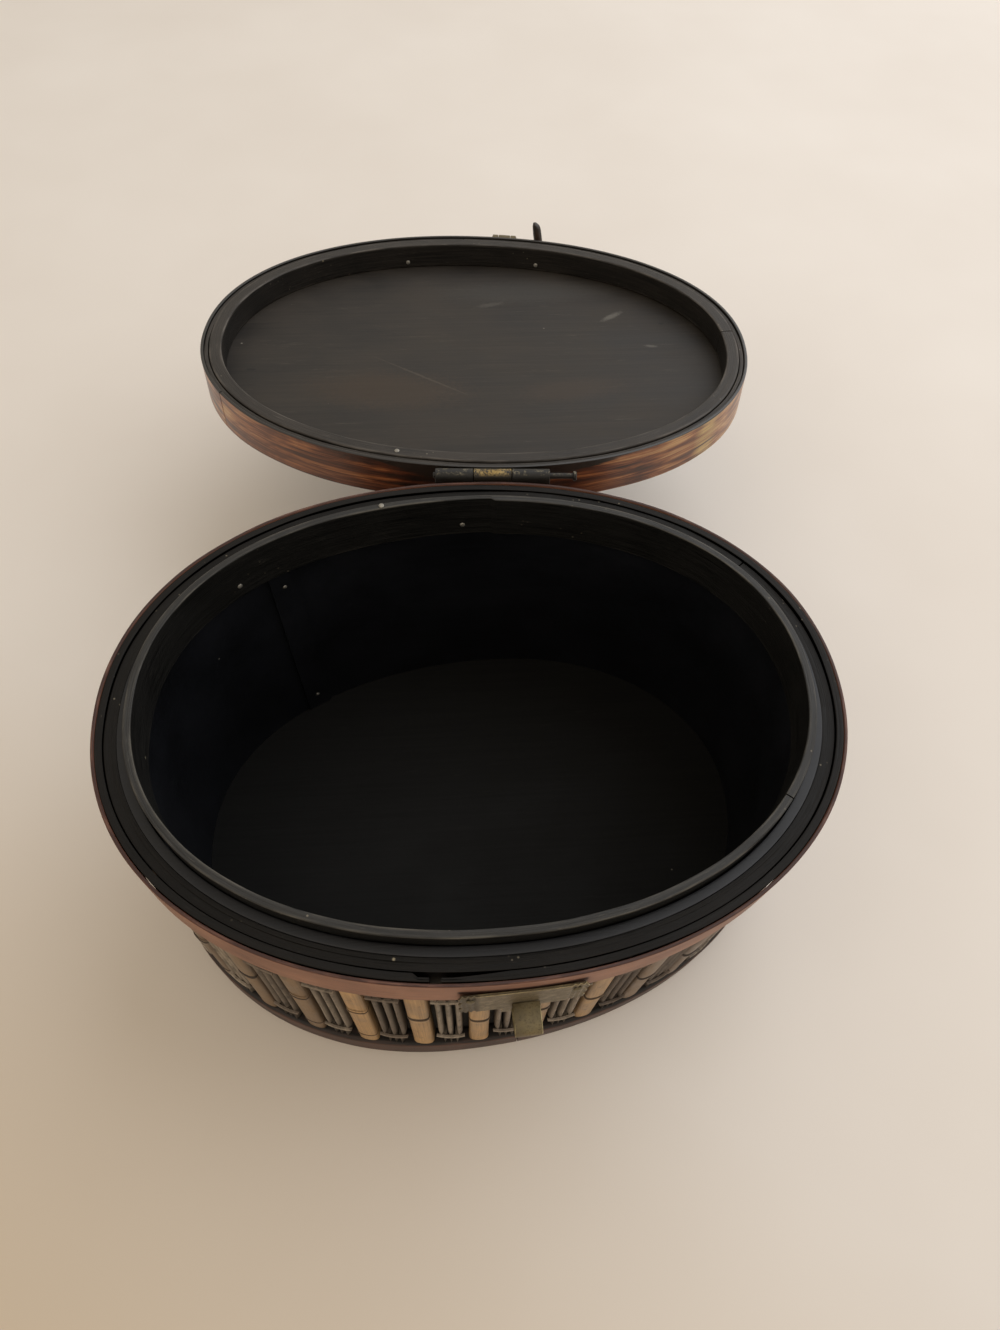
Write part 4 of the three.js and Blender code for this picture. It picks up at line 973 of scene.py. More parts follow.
# %% The placing tree
def placing_tree():
    tree = bpy.data.node_groups.new("Set patterns on points", "GeometryNodeTree")
    face = tree.interface
    face.new_socket("Geometry", in_out="INPUT", socket_type="NodeSocketGeometry")
    face.new_socket("Patterns", in_out="INPUT", socket_type="NodeSocketCollection")
    face.new_socket("Size", in_out="INPUT", socket_type="NodeSocketVector")
    face.new_socket("Size Spread", in_out="INPUT", socket_type="NodeSocketFloat")
    face.new_socket("Seed", in_out="INPUT", socket_type="NodeSocketInt")
    face.new_socket("Material", in_out="INPUT", socket_type="NodeSocketMaterial")
    face.new_socket("Geometry", in_out="OUTPUT", socket_type="NodeSocketGeometry")
    given = tree.nodes.new("NodeGroupInput").outputs
    patterns = node(tree, "GeometryNodeCollectionInfo", _0=given["Patterns"], _1=True, _2=True)
    pick = node(tree, "GeometryNodeInputNamedAttribute", {"data_type": "INT"}, Name="pattern")
    turn = node(tree, "GeometryNodeInputNamedAttribute", {"data_type": "FLOAT_VECTOR"}, Name="turn")
    rotation = node(tree, "FunctionNodeEulerToRotation", _0=turn.outputs[0])
    spread = node(tree, "ShaderNodeMath", {"operation": "SUBTRACT"}, _0=1.0, _1=given["Size Spread"])
    vary = node(tree, "FunctionNodeRandomValue", {"data_type": "FLOAT"}, _2=spread.outputs[0], _3=1.0,
                Seed=given["Seed"])
    scale = node(tree, "ShaderNodeVectorMath", {"operation": "SCALE"}, _0=given["Size"],
                 Scale=vary.outputs[1])
    placed = node(tree, "GeometryNodeInstanceOnPoints", Points=given["Geometry"],
                  Instance=patterns.outputs[0], Pick_Instance=True, Instance_Index=pick.outputs[0],
                  Rotation=rotation.outputs[0], Scale=scale.outputs[0])
    real = node(tree, "GeometryNodeRealizeInstances", Geometry=placed.outputs[0])
    finished = node(tree, "GeometryNodeSetMaterial", Geometry=real.outputs[0], Material=given["Material"])
    node(tree, "NodeGroupOutput", _0=finished.outputs[0])
    return tree


set_on_points = placing_tree()


def place_patterns(name, frames, picks, meshes, material, size=(MM, MM, MM), spread=0.0, seed=1,
                   shades=None):
    """Sets patterns at frames and returns one object with a plain mesh."""
    collection = bpy.data.collections.new(name + "_patterns")
    for mesh in meshes:
        collection.objects.link(bpy.data.objects.new(mesh.name, mesh))
    points = bpy.data.meshes.new(name + "_points")
    points.from_pydata([matrix.translation for matrix in frames], [], [])
    turns = [value for matrix in frames for value in matrix.to_euler("XYZ")]
    points.attributes.new("turn", "FLOAT_VECTOR", "POINT").data.foreach_set("vector", turns)
    points.attributes.new("pattern", "INT", "POINT").data.foreach_set("value", [int(p) for p in picks])
    if shades is not None:
        set_floats(points, "shade", shades)
    carrier = new_object(name + "_carrier", points)
    modifier = carrier.modifiers.new("place", "NODES")
    modifier.node_group = set_on_points
    given = {"Patterns": collection, "Size": size, "Size Spread": spread, "Seed": seed,
             "Material": material}
    for item in set_on_points.interface.items_tree:
        if item.in_out == "INPUT" and item.name in given:
            modifier[item.identifier] = given[item.name]
    carrier.update_tag()
    seen = carrier.evaluated_get(bpy.context.evaluated_depsgraph_get())
    mesh = bpy.data.meshes.new_from_object(seen)
    mesh.name = name
    made = new_object(name, mesh)
    bpy.data.objects.remove(carrier)
    for pattern in list(collection.objects):
        bpy.data.objects.remove(pattern)
    bpy.data.collections.remove(collection)
    print(name, len(frames), "copies,", len(mesh.polygons), "faces")
    return made


# %% [markdown]
# A cane stands on the base band and leans with the wall, so its frame is taken from two points
# of the wall, one at its foot and one at its head. The canes that the photograph shows in
# front get the patterns whose nodes are where theirs are, and the shades that theirs have.

# %% The ring of canes and frets
def leaning_frame(run, offset, low, high):
    """A frame at a distance round the wall, with Z along the leaning wall and -Y outward."""
    foot, head = Vector(wall(run, offset, low)) * MM, Vector(wall(run, offset, high)) * MM
    up = (head - foot).normalized()
    along = (wall_frame(run, offset, low).to_3x3() @ Vector((1, 0, 0))).normalized()
    inward = up.cross(along).normalized()
    turned = Matrix((inward.cross(up), inward, up)).transposed()
    return Matrix.Translation(foot) @ turned.to_4x4()


pitch = PERIMETER / PAIR_COUNT
slat_rng = np.random.default_rng(12)
cane_runs = [PILLAR_PLACE + i * pitch for i in range(PAIR_COUNT)]
cane_picks = list(slat_rng.integers(0, len(cane_patterns), PAIR_COUNT))
cane_picks[-2:], cane_picks[0] = (2, 1), 4
cane_shades, fret_shades = slat_rng.uniform(0.6, 1.0, PAIR_COUNT), slat_rng.random(PAIR_COUNT)
cane_shades[-5:] = 0.95, 0.85, 0.8, 0.1, 0.15
cane_shades[:3] = 0.1, 0.5, 0.3
cane_frames = [leaning_frame(run, slat_back, slat_low, slat_high) for run in cane_runs]
fret_frames = [leaning_frame(run + pitch / 2, slat_back, slat_low, slat_high) for run in cane_runs]
fret_picks = list(slat_rng.integers(0, len(fret_patterns), PAIR_COUNT))
mats = [f"slat_mat_{i + 1:02d}" for i in range(PAIR_COUNT // 2)]
canes = place_patterns("split_bamboo_canes", cane_frames, cane_picks, cane_patterns, cane,
                       shades=cane_shades)
finish_piece(canes, "box", None, mats)
frets = place_patterns("stick_frets", fret_frames, fret_picks, fret_patterns, stick, shades=fret_shades)
finish_piece(frets, "box", None, mats)
# The near-black cloth behind the canes and frets is painted shade for the gaps between them.
add_strip("backing_cloth_strip", (slat_back, inner_ledge_in, slat_low, slat_high), "box", cloth,
          "split_bamboo", mats, radius=0.1, sway=0.0, lift=0.0)

# %% [markdown]
# The lid is a shallow tray of the same build, drawn shut and then swung open: a scorched band
# outside, a thin hoop, a thick inner hoop that fits round the raised lip, and a board on top.

# %% Lid strips
LID_INSET, LID_DEPTH, LID_RECESS, LID_BAND_THICK = 2.0, 18.0, 12.0, 1.4
MIDDLE_THICK, MIDDLE_DROP, LIP_CLEARANCE, BOARD_REVEAL = 1.8, 0.8, 0.7, 0.4
LID_HOOP_CRACK, THIN_HOOP_LAP = 168.0, -12.0
lid_low = RIM_HEIGHT + GAP
lid_high = lid_low + LID_DEPTH
lid_band_in = -LID_INSET - LID_BAND_THICK
middle_out = lid_band_in - GAP
middle_in = middle_out - MIDDLE_THICK
lid_hoop_in = lip_out + LIP_CLEARANCE
lid_board_low = lid_low + LID_RECESS
hoop_high = lid_board_low - GAP

add_strip("scorched_lid_band", (-LID_INSET, lid_band_in, lid_low, lid_high), "lid", scorched,
          "scorched_bamboo", ["lid_outer_band"], place=LID_OPEN, seed=21, sway=0.15, lift=0.3,
          **joint_ends(LID_BAND_START))
add_strip("thin_lid_hoop", (middle_out, middle_in, lid_low + MIDDLE_DROP, hoop_high), "lid", lid_paint,
          "black_painted_wood", ["lid_middle_hoop"], place=LID_OPEN, seed=22, sway=0.08, lift=0.25,
          **joint_ends(THIN_HOOP_LAP))
add_strip("thick_lid_hoop", (middle_in - GAP, lid_hoop_in, lid_low, hoop_high), "lid", lid_paint,
          "black_painted_wood", ["lid_inner_hoop"], place=LID_OPEN, seed=23, sway=0.3, lift=0.3, radius=0.7,
          **joint_ends(LID_HOOP_CRACK))
panel_board = board("lid_panel", middle_out, lid_board_low, lid_high - BOARD_REVEAL, 0.3, LID_OPEN)
finish_piece(new_object("lid_panel", panel_board), "lid", panel_stain, ["lid_board"])

# %% [markdown]
# The fittings are sheet metal, so most of them are a flat outline with some thickness, or a
# bent path with some thickness, with their edges eased by a small bevel. Modifiers could
# thicken and bevel them, but bmesh also tells which faces the bevel made. Those are marked as
# worn, so that the material can brighten the edges.

# %% Sheet metal
METAL_EASED = 0.18


def moved(x, y, z):
    """A shift in millimetres as a matrix in metres."""
    return Matrix.Translation(Vector((x, y, z)) * MM)


def pushed(outline, direction, eased=METAL_EASED, hole=()):
    """A solid from a flat outline, with an optional hole, pushed along a direction, with eased edges."""
    shape = bmesh.new()
    edges = []
    for loop in (outline, hole):
        corners = [shape.verts.new(p) for p in loop]
        edges += [shape.edges.new(ends) for ends in zip(corners, corners[1:] + corners[:1])]
    bmesh.ops.triangle_fill(shape, use_beauty=True, edges=edges)
    raised = bmesh.ops.extrude_face_region(shape, geom=shape.faces[:])["geom"]
    lifted = [part for part in raised if isinstance(part, bmesh.types.BMVert)]
    bmesh.ops.translate(shape, verts=lifted, vec=direction)
    bmesh.ops.recalc_face_normals(shape, faces=shape.faces[:])
    worn = shape.faces.layers.float.new("wear")
    if eased:
        sharp = [edge for edge in shape.edges if edge.calc_face_angle(0.0) > SMOOTH_ANGLE]
        made = bmesh.ops.bevel(shape, geom=sharp, offset=eased, segments=1, affect="EDGES",
                               clamp_overlap=True)
        for face in made["faces"]:
            face[worn] = 1.0
    return shape


def slab(low, high, eased=METAL_EASED):
    """A box between two corners, with eased edges."""
    (x0, y0, z0), (x1, y1, z1) = low, high
    return pushed([(x0, y0, z0), (x1, y0, z0), (x1, y0, z1), (x0, y0, z1)], (0, y1 - y0, 0), eased)


def bent_sheet(path, thick, low, high, eased=METAL_EASED):
    """A sheet bent along a path of (y, z) points, from x = low to x = high."""
    path = np.array(path, float)
    slope = np.gradient(path, axis=0)
    side = np.stack([-slope[:, 1], slope[:, 0]], -1)
    side *= thick / 2 / np.linalg.norm(side, axis=1, keepdims=True)
    outline = np.concatenate([path + side, (path - side)[::-1]])
    return pushed([(low, y, z) for y, z in outline], (high - low, 0, 0), eased)


# %% [markdown]
# Pins, barrels and the peg are round, so they are turned as on a lathe, from rings of points
# one above the other. A tube closes on itself, and a solid gets a face at each end. The peg
# isn't quite round, so a function may shrink each side by a share.

# %% Turned shapes
ALONG_X = Matrix.Rotation(math.radians(90), 4, "Y")


def turned(profile, sides=20, tube=False, facets=None):
    """A shape of (radius, height) rings turned about Z. Facets shrinks each side by a share."""
    shape = bmesh.new()
    shape.faces.layers.float.new("wear")
    rings = []
    for radius, height in profile:
        angles = [2 * math.pi * j / sides for j in range(sides)]
        sizes = [radius * (1 if facets is None else facets(a, height)) for a in angles]
        rings.append([shape.verts.new((size * math.cos(a), size * math.sin(a), height))
                      for a, size in zip(angles, sizes)])
    pairs = list(zip(rings, rings[1:] + rings[:1])) if tube else list(zip(rings, rings[1:]))
    for low, high in pairs:
        for j in range(sides):
            k = (j + 1) % sides
            shape.faces.new((low[j], low[k], high[k], high[j]))
    if not tube:
        shape.faces.new(rings[0][::-1])
        shape.faces.new(rings[-1])
    return shape


# %% [markdown]
# A plate is cut flat and then bent to the wall, and it is drawn the same way. Cuts across it
# give it points enough to bend, and each point then goes to its distance along the wall.

# %% Bend a plate to the wall
def bend_to_wall(shape, run, offset, step=1.5, relief=None, stand_off=0.0):
    """Bends a plate, drawn flat with -Y out and its real heights, onto the wall.

    Relief raises its face, and stand_off is how far its two ends stand off the wall.
    """
    xs = [vert.co.x for vert in shape.verts]
    for x in np.arange(math.ceil(min(xs) / step) * step, max(xs), step):
        bmesh.ops.bisect_plane(shape, geom=shape.verts[:] + shape.edges[:] + shape.faces[:],
                               plane_co=(x, 0, 0), plane_no=(1, 0, 0))
    flat = np.array([vert.co for vert in shape.verts])
    out = offset - flat[:, 1] + stand_off * (flat[:, 0] / max(xs)) ** 2
    if relief is not None:
        out = out + np.where(flat[:, 1] < -0.5 * METAL_EASED, relief(flat[:, 0]), 0.0)
    for vert, point in zip(shape.verts, wall(run + flat[:, 0], out, flat[:, 2])):
        vert.co = point
    return shape


# %% [markdown]
# One fitting may be several shapes, such as a plate and its knuckles. They are gathered into
# one mesh that keeps its worn faces. Paint that lies open to hands wears on top instead, so
# there the wear is how far each point faces up, and stands for a painted highlight there too.

# %% Gather a fitting
class Fitting:
    """The points, faces and worn faces of one fitting, gathered shape by shape."""

    def __init__(self):
        self.points, self.faces, self.wear = [], [], []

    def add(self, shape, place=SHUT):
        """Takes a shape in millimetres to its place, a matrix in metres."""
        first = len(self.points)
        shape.transform(place @ Matrix.Scale(MM, 4))
        shape.verts.index_update()
        worn = shape.faces.layers.float["wear"]
        self.points += [tuple(vert.co) for vert in shape.verts]
        self.faces += [[first + vert.index for vert in face.verts] for face in shape.faces]
        self.wear += [face[worn] for face in shape.faces]
        shape.free()
        return self

    def piece(self, name, body, material, slot, replaced, rubbed_and_lit_on_top=False):
        mesh = bpy.data.meshes.new(name)
        mesh.from_pydata(self.points, [], self.faces)
        # Wear from facing up: rubbed paint, with a painted highlight on the tops.
        if rubbed_and_lit_on_top:
            normals = np.empty((len(mesh.vertices), 3), np.float32)
            mesh.vertex_normals.foreach_get("vector", normals.ravel())
            set_floats(mesh, "wear", np.clip((normals[:, 2] - 0.62) / 0.25, 0, 1))
        else:
            set_floats(mesh, "wear", self.wear, "FACE")
        obj = new_object(name, mesh)
        finish_piece(obj, body, material, replaced)
        print(name, len(mesh.polygons), "faces")
        return obj


# %% [markdown]
# The hinge is a butt hinge rolled from sheet. Each leaf is a plate nailed to its band, and its
# knuckles are the same sheet carried round the pin. The body's leaf has the two outer knuckles
# and the lid's leaf the middle one. The roll is drawn once in side view and pushed along the
# hinge for each knuckle. The pin's tail sticks out at one side and ends in a collar.

# %% Butt hinge
HINGE_OFFSET, HINGE_LENGTH, LEAF_HEIGHT, LEAF_THICK = 3.5, 46.6, 14.0, 0.8
BARREL_RADIUS, PIN_RADIUS, PIN_TAIL = 2.75, 1.2, 10.0
BODY_LEAF_DROP, LID_LEAF_RISE, ROLL_SLACK = 3.2, 3.4, 0.04
BOTH_SIDES = (-1, 1)
HINGE_FRAME = wall_frame(HINGE_RUN, 0, RIM_HEIGHT)
half_hinge, knuckle = HINGE_LENGTH / 2, HINGE_LENGTH / 3
roll_radius, roll_thick = BARREL_RADIUS - LEAF_THICK / 2, LEAF_THICK - ROLL_SLACK


def roll(start, end, steps=16):
    """Points of the knuckle's roll round the pin, between two angles from the wall's side."""
    return [(-HINGE_OFFSET + roll_radius * math.cos(a), roll_radius * math.sin(a))
            for a in np.radians(np.linspace(start, end, steps))]


body_roll = [(-0.7, -4.2), (-0.7, -3.4), (-0.82, -2.4), (-1.0, -1.2)] + roll(0, 300)
lid_roll = [(1.3, 4.2), (1.3, 3.2), (1.1, 2.65), (0.7, 2.42), (-0.4, 2.35), (-2.0, 2.35)] + roll(90, 380)
body_leaf = Fitting()
body_leaf.add(slab((-half_hinge, -GAP - LEAF_THICK, -LEAF_HEIGHT), (half_hinge, -GAP, -BODY_LEAF_DROP)),
              HINGE_FRAME)
for side in BOTH_SIDES:
    ends = sorted((side * (knuckle / 2 + GAP / 2), side * (half_hinge - GAP / 2)))
    body_leaf.add(bent_sheet(body_roll, roll_thick, *ends), HINGE_FRAME)
body_leaf.piece("hinge_leaf_on_box", "box", black_hinge, "aged_brass", ["hinge_body_leaf"],
                rubbed_and_lit_on_top=True)

lid_leaf = Fitting()
leaf_in = LID_INSET - GAP
lid_leaf.add(slab((-half_hinge, leaf_in - LEAF_THICK, LID_LEAF_RISE),
                  (half_hinge, leaf_in, GAP + LEAF_HEIGHT)), LID_OPEN @ HINGE_FRAME)
lid_leaf.add(bent_sheet(lid_roll, roll_thick, -knuckle / 2 + GAP / 2, knuckle / 2 - GAP / 2),
             LID_OPEN @ HINGE_FRAME)
lid_leaf.piece("hinge_leaf_on_lid", "lid", gold_hinge, "aged_brass", ["hinge_lid_leaf"], rubbed_and_lit_on_top=True)

tail = -half_hinge - PIN_TAIL
pin = turned([(1.5, tail - 0.8), (2.0, tail - 0.5), (2.0, tail + 0.5), (1.5, tail + 0.8),
              (PIN_RADIUS, tail + 0.85), (PIN_RADIUS, half_hinge + 0.5), (0.9, half_hinge + 0.8)])
Fitting().add(pin, HINGE_FRAME @ moved(0, -HINGE_OFFSET, 0) @ ALONG_X).piece(
    "hinge_pin_wire", "box", black_hinge, "dark_iron", ["hinge_pin"], rubbed_and_lit_on_top=True)

# %% [markdown]
# The lock plate is sheet brass bent to the wall, a little too flat, so that its ends stand off.
# They are cut into three small lobes and fluted, and a tab goes down behind the staple. The
# staple is a strip bent to a loop, which stands out so that the peg can go through it. The
# plate is drawn flat, as it was cut, because its lobes and flutes are simple there.

# %% Lock plate and staple
LATCH_PLACE, LOCK_PLATE_WIDTH, LOCK_PLATE_HEIGHT, LOCK_PLATE_DROP = 9.8, 40.5, 22.0, 8.0
PLATE_THICK, SCALLOP_DEPTH, TAB_WIDTH, TAB_HEIGHT = 0.9, 1.2, 13.0, 6.0
STAPLE_SHIFT, STAPLE_WIDTH, STAPLE_REACH = 0.9, 8.8, 9.6
STAPLE_EYE, STAPLE_THICK, STAPLE_DROP = 5.0, 1.0, 26.0
PLATE_STAND_OFF, NAIL_SIDE = 0.7, 16.5
FLUTE_COUNT, FLUTE_PITCH, FLUTE_DEPTH, FLUTE_MARGIN, FLUTE_ROOM = 3, 1.7, 0.22, 0.6, 0.2
lock_top = RIM_HEIGHT - LOCK_PLATE_DROP
lock_low = lock_top - LOCK_PLATE_HEIGHT


def lobed_outline(width, height, low, lobes=3, steps=6):
    """The (x, z) outline, from lower right, of a bar whose two ends are cut into shallow lobes."""
    half, lobe = width / 2 - SCALLOP_DEPTH, height / lobes
    right = [(half + SCALLOP_DEPTH * math.sin(math.pi * i / steps), low + lobe * (k + i / steps))
             for k in range(lobes) for i in range(steps)] + [(half, low + height)]
    return right + [(-x, z) for x, z in reversed(right)]


def flutes(x):
    """Shallow upright flutes beside both ends of the lock plate, as extra height of its face."""
    inward = LOCK_PLATE_WIDTH / 2 - FLUTE_MARGIN - np.abs(x)
    wave = FLUTE_DEPTH * np.cos(2 * np.pi * inward / FLUTE_PITCH)
    return np.where(inward < FLUTE_COUNT * FLUTE_PITCH, wave, FLUTE_DEPTH)


def upright(points):
    """Takes (x, z) points to the plane of a plate's back."""
    return [(x, 0.0, z) for x, z in points]


plate = lobed_outline(LOCK_PLATE_WIDTH, LOCK_PLATE_HEIGHT, lock_low)
tab_half, tab_low = TAB_WIDTH / 2, lock_low - TAB_HEIGHT
plate += [(-tab_half, lock_low), (-tab_half, tab_low), (tab_half, tab_low), (tab_half, lock_low)]
flat_plate = pushed(upright(plate), (0, -PLATE_THICK + FLUTE_ROOM, 0))
bent_plate = bend_to_wall(flat_plate, LATCH_PLACE, GAP, FLUTE_PITCH / 4, flutes, PLATE_STAND_OFF)
Fitting().add(bent_plate).piece("lock_plate_sheet", "box", plate_brass, "aged_brass", ["lock_plate"])

loop_radius = (STAPLE_EYE + STAPLE_THICK) / 2
loop_centre = STAPLE_REACH - STAPLE_EYE / 2 - STAPLE_THICK
loop = [(0.0, loop_radius), (-loop_centre * 0.5, loop_radius + 0.15)]
loop += [(-loop_centre - loop_radius * math.cos(a), loop_radius * math.sin(a))
         for a in np.radians(np.linspace(90, -90, 13))]
loop += [(-loop_centre * 0.5, -loop_radius), (0.0, -loop_radius)]
staple_frame = wall_frame(LATCH_PLACE + STAPLE_SHIFT, GAP + PLATE_THICK + GAP, RIM_HEIGHT - STAPLE_DROP)
staple = bent_sheet(loop, STAPLE_THICK, -STAPLE_WIDTH / 2, STAPLE_WIDTH / 2, 0.25)
Fitting().add(staple, staple_frame).piece("staple_loop", "box", staple_brass, "aged_brass", ["lock_staple"])

# %% [markdown]
# On the lid's front a smaller plate carries two lugs, with a pin through them for the hasp to
# swing on. The lugs are short turned barrels, and a small block joins each one to the plate.

# %% Lid plate and the hasp's pin
LID_PLATE_WIDTH, LID_PLATE_HEIGHT, LID_PLATE_RISE, LID_PLATE_STEP = 25.0, 13.0, 1.0, 1.25
HASP_RISE, HASP_OFFSET, HASP_BARREL, HASP_PIN, HASP_KNUCKLE, HASP_LUG = 3.2, 2.3, 2.0, 0.8, 6.4, 3.0
BARREL_EASED, LUG_INSET, LUG_START, LUG_HALF = 0.2, 0.25, 0.5, 1.0
hasp_frame = wall_frame(LATCH_PLACE, HASP_OFFSET, lid_low + HASP_RISE)
lid_plate_low = lid_low + LID_PLATE_RISE


def hasp_barrel(near, far):
    """A short barrel about the hasp's pin, with eased ends."""
    narrow = HASP_BARREL - BARREL_EASED
    return turned([(narrow, near), (HASP_BARREL, near + BARREL_EASED),
                   (HASP_BARREL, far - BARREL_EASED), (narrow, far)])


lid_plate = Fitting()
small_outline = lobed_outline(LID_PLATE_WIDTH, LID_PLATE_HEIGHT, lid_plate_low)
small_plate = pushed(upright(small_outline), (0, -PLATE_THICK, 0))
lid_plate.add(bend_to_wall(small_plate, LATCH_PLACE, GAP - LID_INSET, LID_PLATE_STEP), LID_OPEN)
lug_foot = HASP_OFFSET + LID_INSET - GAP - PLATE_THICK / 2
for side in BOTH_SIDES:
    near, far = sorted((side * (HASP_KNUCKLE + GAP) / 2, side * (HASP_KNUCKLE / 2 + HASP_LUG)))
    lid_plate.add(hasp_barrel(near, far), LID_OPEN @ hasp_frame @ ALONG_X)
    block = slab((near + LUG_INSET, LUG_START, -LUG_HALF), (far - LUG_INSET, lug_foot, LUG_HALF), 0.0)
    lid_plate.add(block, LID_OPEN @ hasp_frame)
lid_plate.piece("lid_plate_sheet", "lid", brass, "aged_brass", ["lid_plate"])
lug_end = HASP_KNUCKLE / 2 + HASP_LUG
pin = turned([(1.1, -lug_end - 0.3), (1.3, -lug_end - 0.05), (HASP_PIN, -lug_end), (HASP_PIN, lug_end),
              (1.3, lug_end + 0.05), (1.1, lug_end + 0.3)], 14)
Fitting().add(pin, LID_OPEN @ hasp_frame @ ALONG_X).piece(
    "hasp_pin_wire", "lid", iron, "dark_iron", ["hasp_pin"])


# %% [markdown]
# The hasp is a strap with a slot that drops over the staple. With the lid open it hangs behind.
# The slot's lower end is as far from the pin as the staple's outer corner, with some play, so
# that the strap clears the staple as it swings.

# %% Hasp
HASP_WIDTH, HASP_THICK, HASP_NECK, HASP_TIP, HASP_PLAY, HASP_SIDE = 16.0, 1.0, 6.0, 4.2, 0.6, 1.6


def softened(corners, radius, steps=4):
    """Rounds the corners of a closed (x, z) outline, each by its own radius."""
    points = []
    for i, (corner, size) in enumerate(zip(corners, radius)):
        here = Vector(corner)
        before = (Vector(corners[i - 1]) - here).normalized() * size
        after = (Vector(corners[(i + 1) % len(corners)]) - here).normalized() * size
        for t in np.linspace(0, 1, steps + 1) if size else [0.5]:
            points.append(tuple(here + before * (1 - t) ** 2 + after * t ** 2))
    return points


drop = HASP_RISE + GAP + STAPLE_DROP
staple_half = STAPLE_EYE / 2 + STAPLE_THICK
staple_out = GAP + PLATE_THICK + GAP + STAPLE_REACH - HASP_OFFSET
slot_top = drop - staple_half - HASP_PLAY
slot_low = math.hypot(drop + staple_half, staple_out - staple_half) + HASP_PLAY
slot_half = STAPLE_WIDTH / 2 + HASP_SIDE
neck, half_hasp, tip = (HASP_KNUCKLE - GAP) / 2, HASP_WIDTH / 2, slot_low + HASP_TIP
strap = softened([(-neck, 0), (-neck, -HASP_NECK), (-half_hasp, -HASP_NECK - 1.5), (-half_hasp, -tip),
                  (half_hasp, -tip), (half_hasp, -HASP_NECK - 1.5), (neck, -HASP_NECK), (neck, 0)],
                 [0, 1, 2.5, 5, 5, 2.5, 1, 0])
slot = softened([(-slot_half, -slot_top), (-slot_half, -slot_low), (slot_half, -slot_low),
                 (slot_half, -slot_top)], [1.2] * 4)
hasp_place = HASP_OPEN @ hasp_frame
hasp = Fitting()
hasp.add(pushed([(x, HASP_THICK / 2, z) for x, z in strap], (0, -HASP_THICK, 0),
                hole=[(x, HASP_THICK / 2, z) for x, z in slot]), hasp_place)
hasp.add(hasp_barrel(-neck, neck), hasp_place @ ALONG_X)
hasp.piece("hasp_strap", "hasp", brass, "aged_brass", ["hasp"])

# %% [markdown]
# The lock peg is a whittled stick that waits in an eye beside the plate. It is turned as the
# pins are, but its sides shrink and swell by turns, as a knife leaves them, and its tip leans
# and is cut aslant. The eye is a ring with a short stem and a foot.

# %% Lock peg and its eye
PEG_PLACE, PEG_OFFSET, PEG_HEAD, PEG_TIP = 28.0, 5.2, 24.0, 4.4
EYE_RISE, EYE_HEIGHT, EYE_IN, EYE_OUT, EYE_STEM_HALF, EYE_FOOT_HALF = 9.0, 5.0, 2.72, 3.82, 1.1, 5.0
peg_place = LID_OPEN @ wall_frame(PEG_PLACE, PEG_OFFSET, lid_low)
eye_low, eye_high = EYE_RISE - EYE_HEIGHT / 2, EYE_RISE + EYE_HEIGHT / 2
eye_reach = PEG_OFFSET + LID_INSET - GAP
eye = Fitting()
ring = turned([(EYE_OUT - 0.15, eye_low), (EYE_OUT, eye_low + 0.3), (EYE_OUT, eye_high - 0.3),
               (EYE_OUT - 0.15, eye_high), (EYE_IN, eye_high), (EYE_IN, eye_low)], 24, tube=True)
eye.add(ring, peg_place)
eye.add(slab((-EYE_STEM_HALF, EYE_IN + 0.3, eye_low + 0.1),
             (EYE_STEM_HALF, eye_reach - 0.5, eye_high - 0.1), 0.1), peg_place)
eye.add(slab((-EYE_FOOT_HALF, eye_reach - PLATE_THICK, eye_low), (EYE_FOOT_HALF, eye_reach, eye_high)),
        peg_place)
eye.piece("peg_eye_ring", "lid", brass, "aged_brass", ["peg_eye"])


def whittled(angle, height):
    """Knife facets on the peg, which wander a little from end to end."""
    return 0.955 + 0.045 * math.cos(5 * angle + 0.09 * height) * math.cos(0.35 * height + angle)


PEG_LEAN, PEG_STRAIGHT_FROM, PEG_TIP_SLANT = 0.17, 6.0, 0.45
peg = turned([(1.2, -PEG_TIP), (1.9, -PEG_TIP + 0.4), (2.3, -PEG_TIP + 1.6), (2.3, 0.0), (2.35, 3.0),
              (2.5, 8.0), (2.6, 11.6), (2.9, 13.0), (3.3, 14.6), (3.3, 18.0), (3.25, PEG_HEAD - 0.8),
              (2.8, PEG_HEAD)], 15, facets=whittled)
for vert in peg.verts:
    vert.co.x -= PEG_LEAN * max(0.0, PEG_STRAIGHT_FROM - vert.co.z)
    vert.co.z += PEG_TIP_SLANT * vert.co.x * max(0.0, -vert.co.z) / PEG_TIP
Fitting().add(peg, peg_place).piece(
    "whittled_peg", "lock_peg", dark_peg, "black_painted_wood", ["lock_peg"])

# %% [markdown]
# Small nails hold the fittings and the strips. One domed head is drawn, and the placing tree
# sets a copy at each nail's place, so a nail is its frame on the wall and nothing more.

# %% One nail
HEAD_OUTWARD = Matrix.Rotation(math.radians(90), 4, "X")
SHANK_SHARE, NAIL_DEPTH = 0.42, 1.6


def nail_pattern():
    """A nail of head radius 1, with its head on the -Y side and a stub of its shank."""
    shape = turned([(SHANK_SHARE, -NAIL_DEPTH), (SHANK_SHARE, -0.05), (0.96, -0.05), (1.0, 0.06),
                    (0.9, 0.24), (0.6, 0.37), (0.25, 0.42)], 12)
    shape.transform(HEAD_OUTWARD)
    mesh = bpy.data.meshes.new("nail")
    shape.to_mesh(mesh)
    shape.free()
    mesh.shade_smooth()
    return mesh


def add_nails(name, frames, radius, body, material, replaced):
    size = (radius * MM,) * 3
    picks = [0] * len(frames)
    nails = place_patterns(name, frames, picks, [nail_pattern()], material, size=size, seed=3)
    return finish_piece(nails, body, None, replaced)


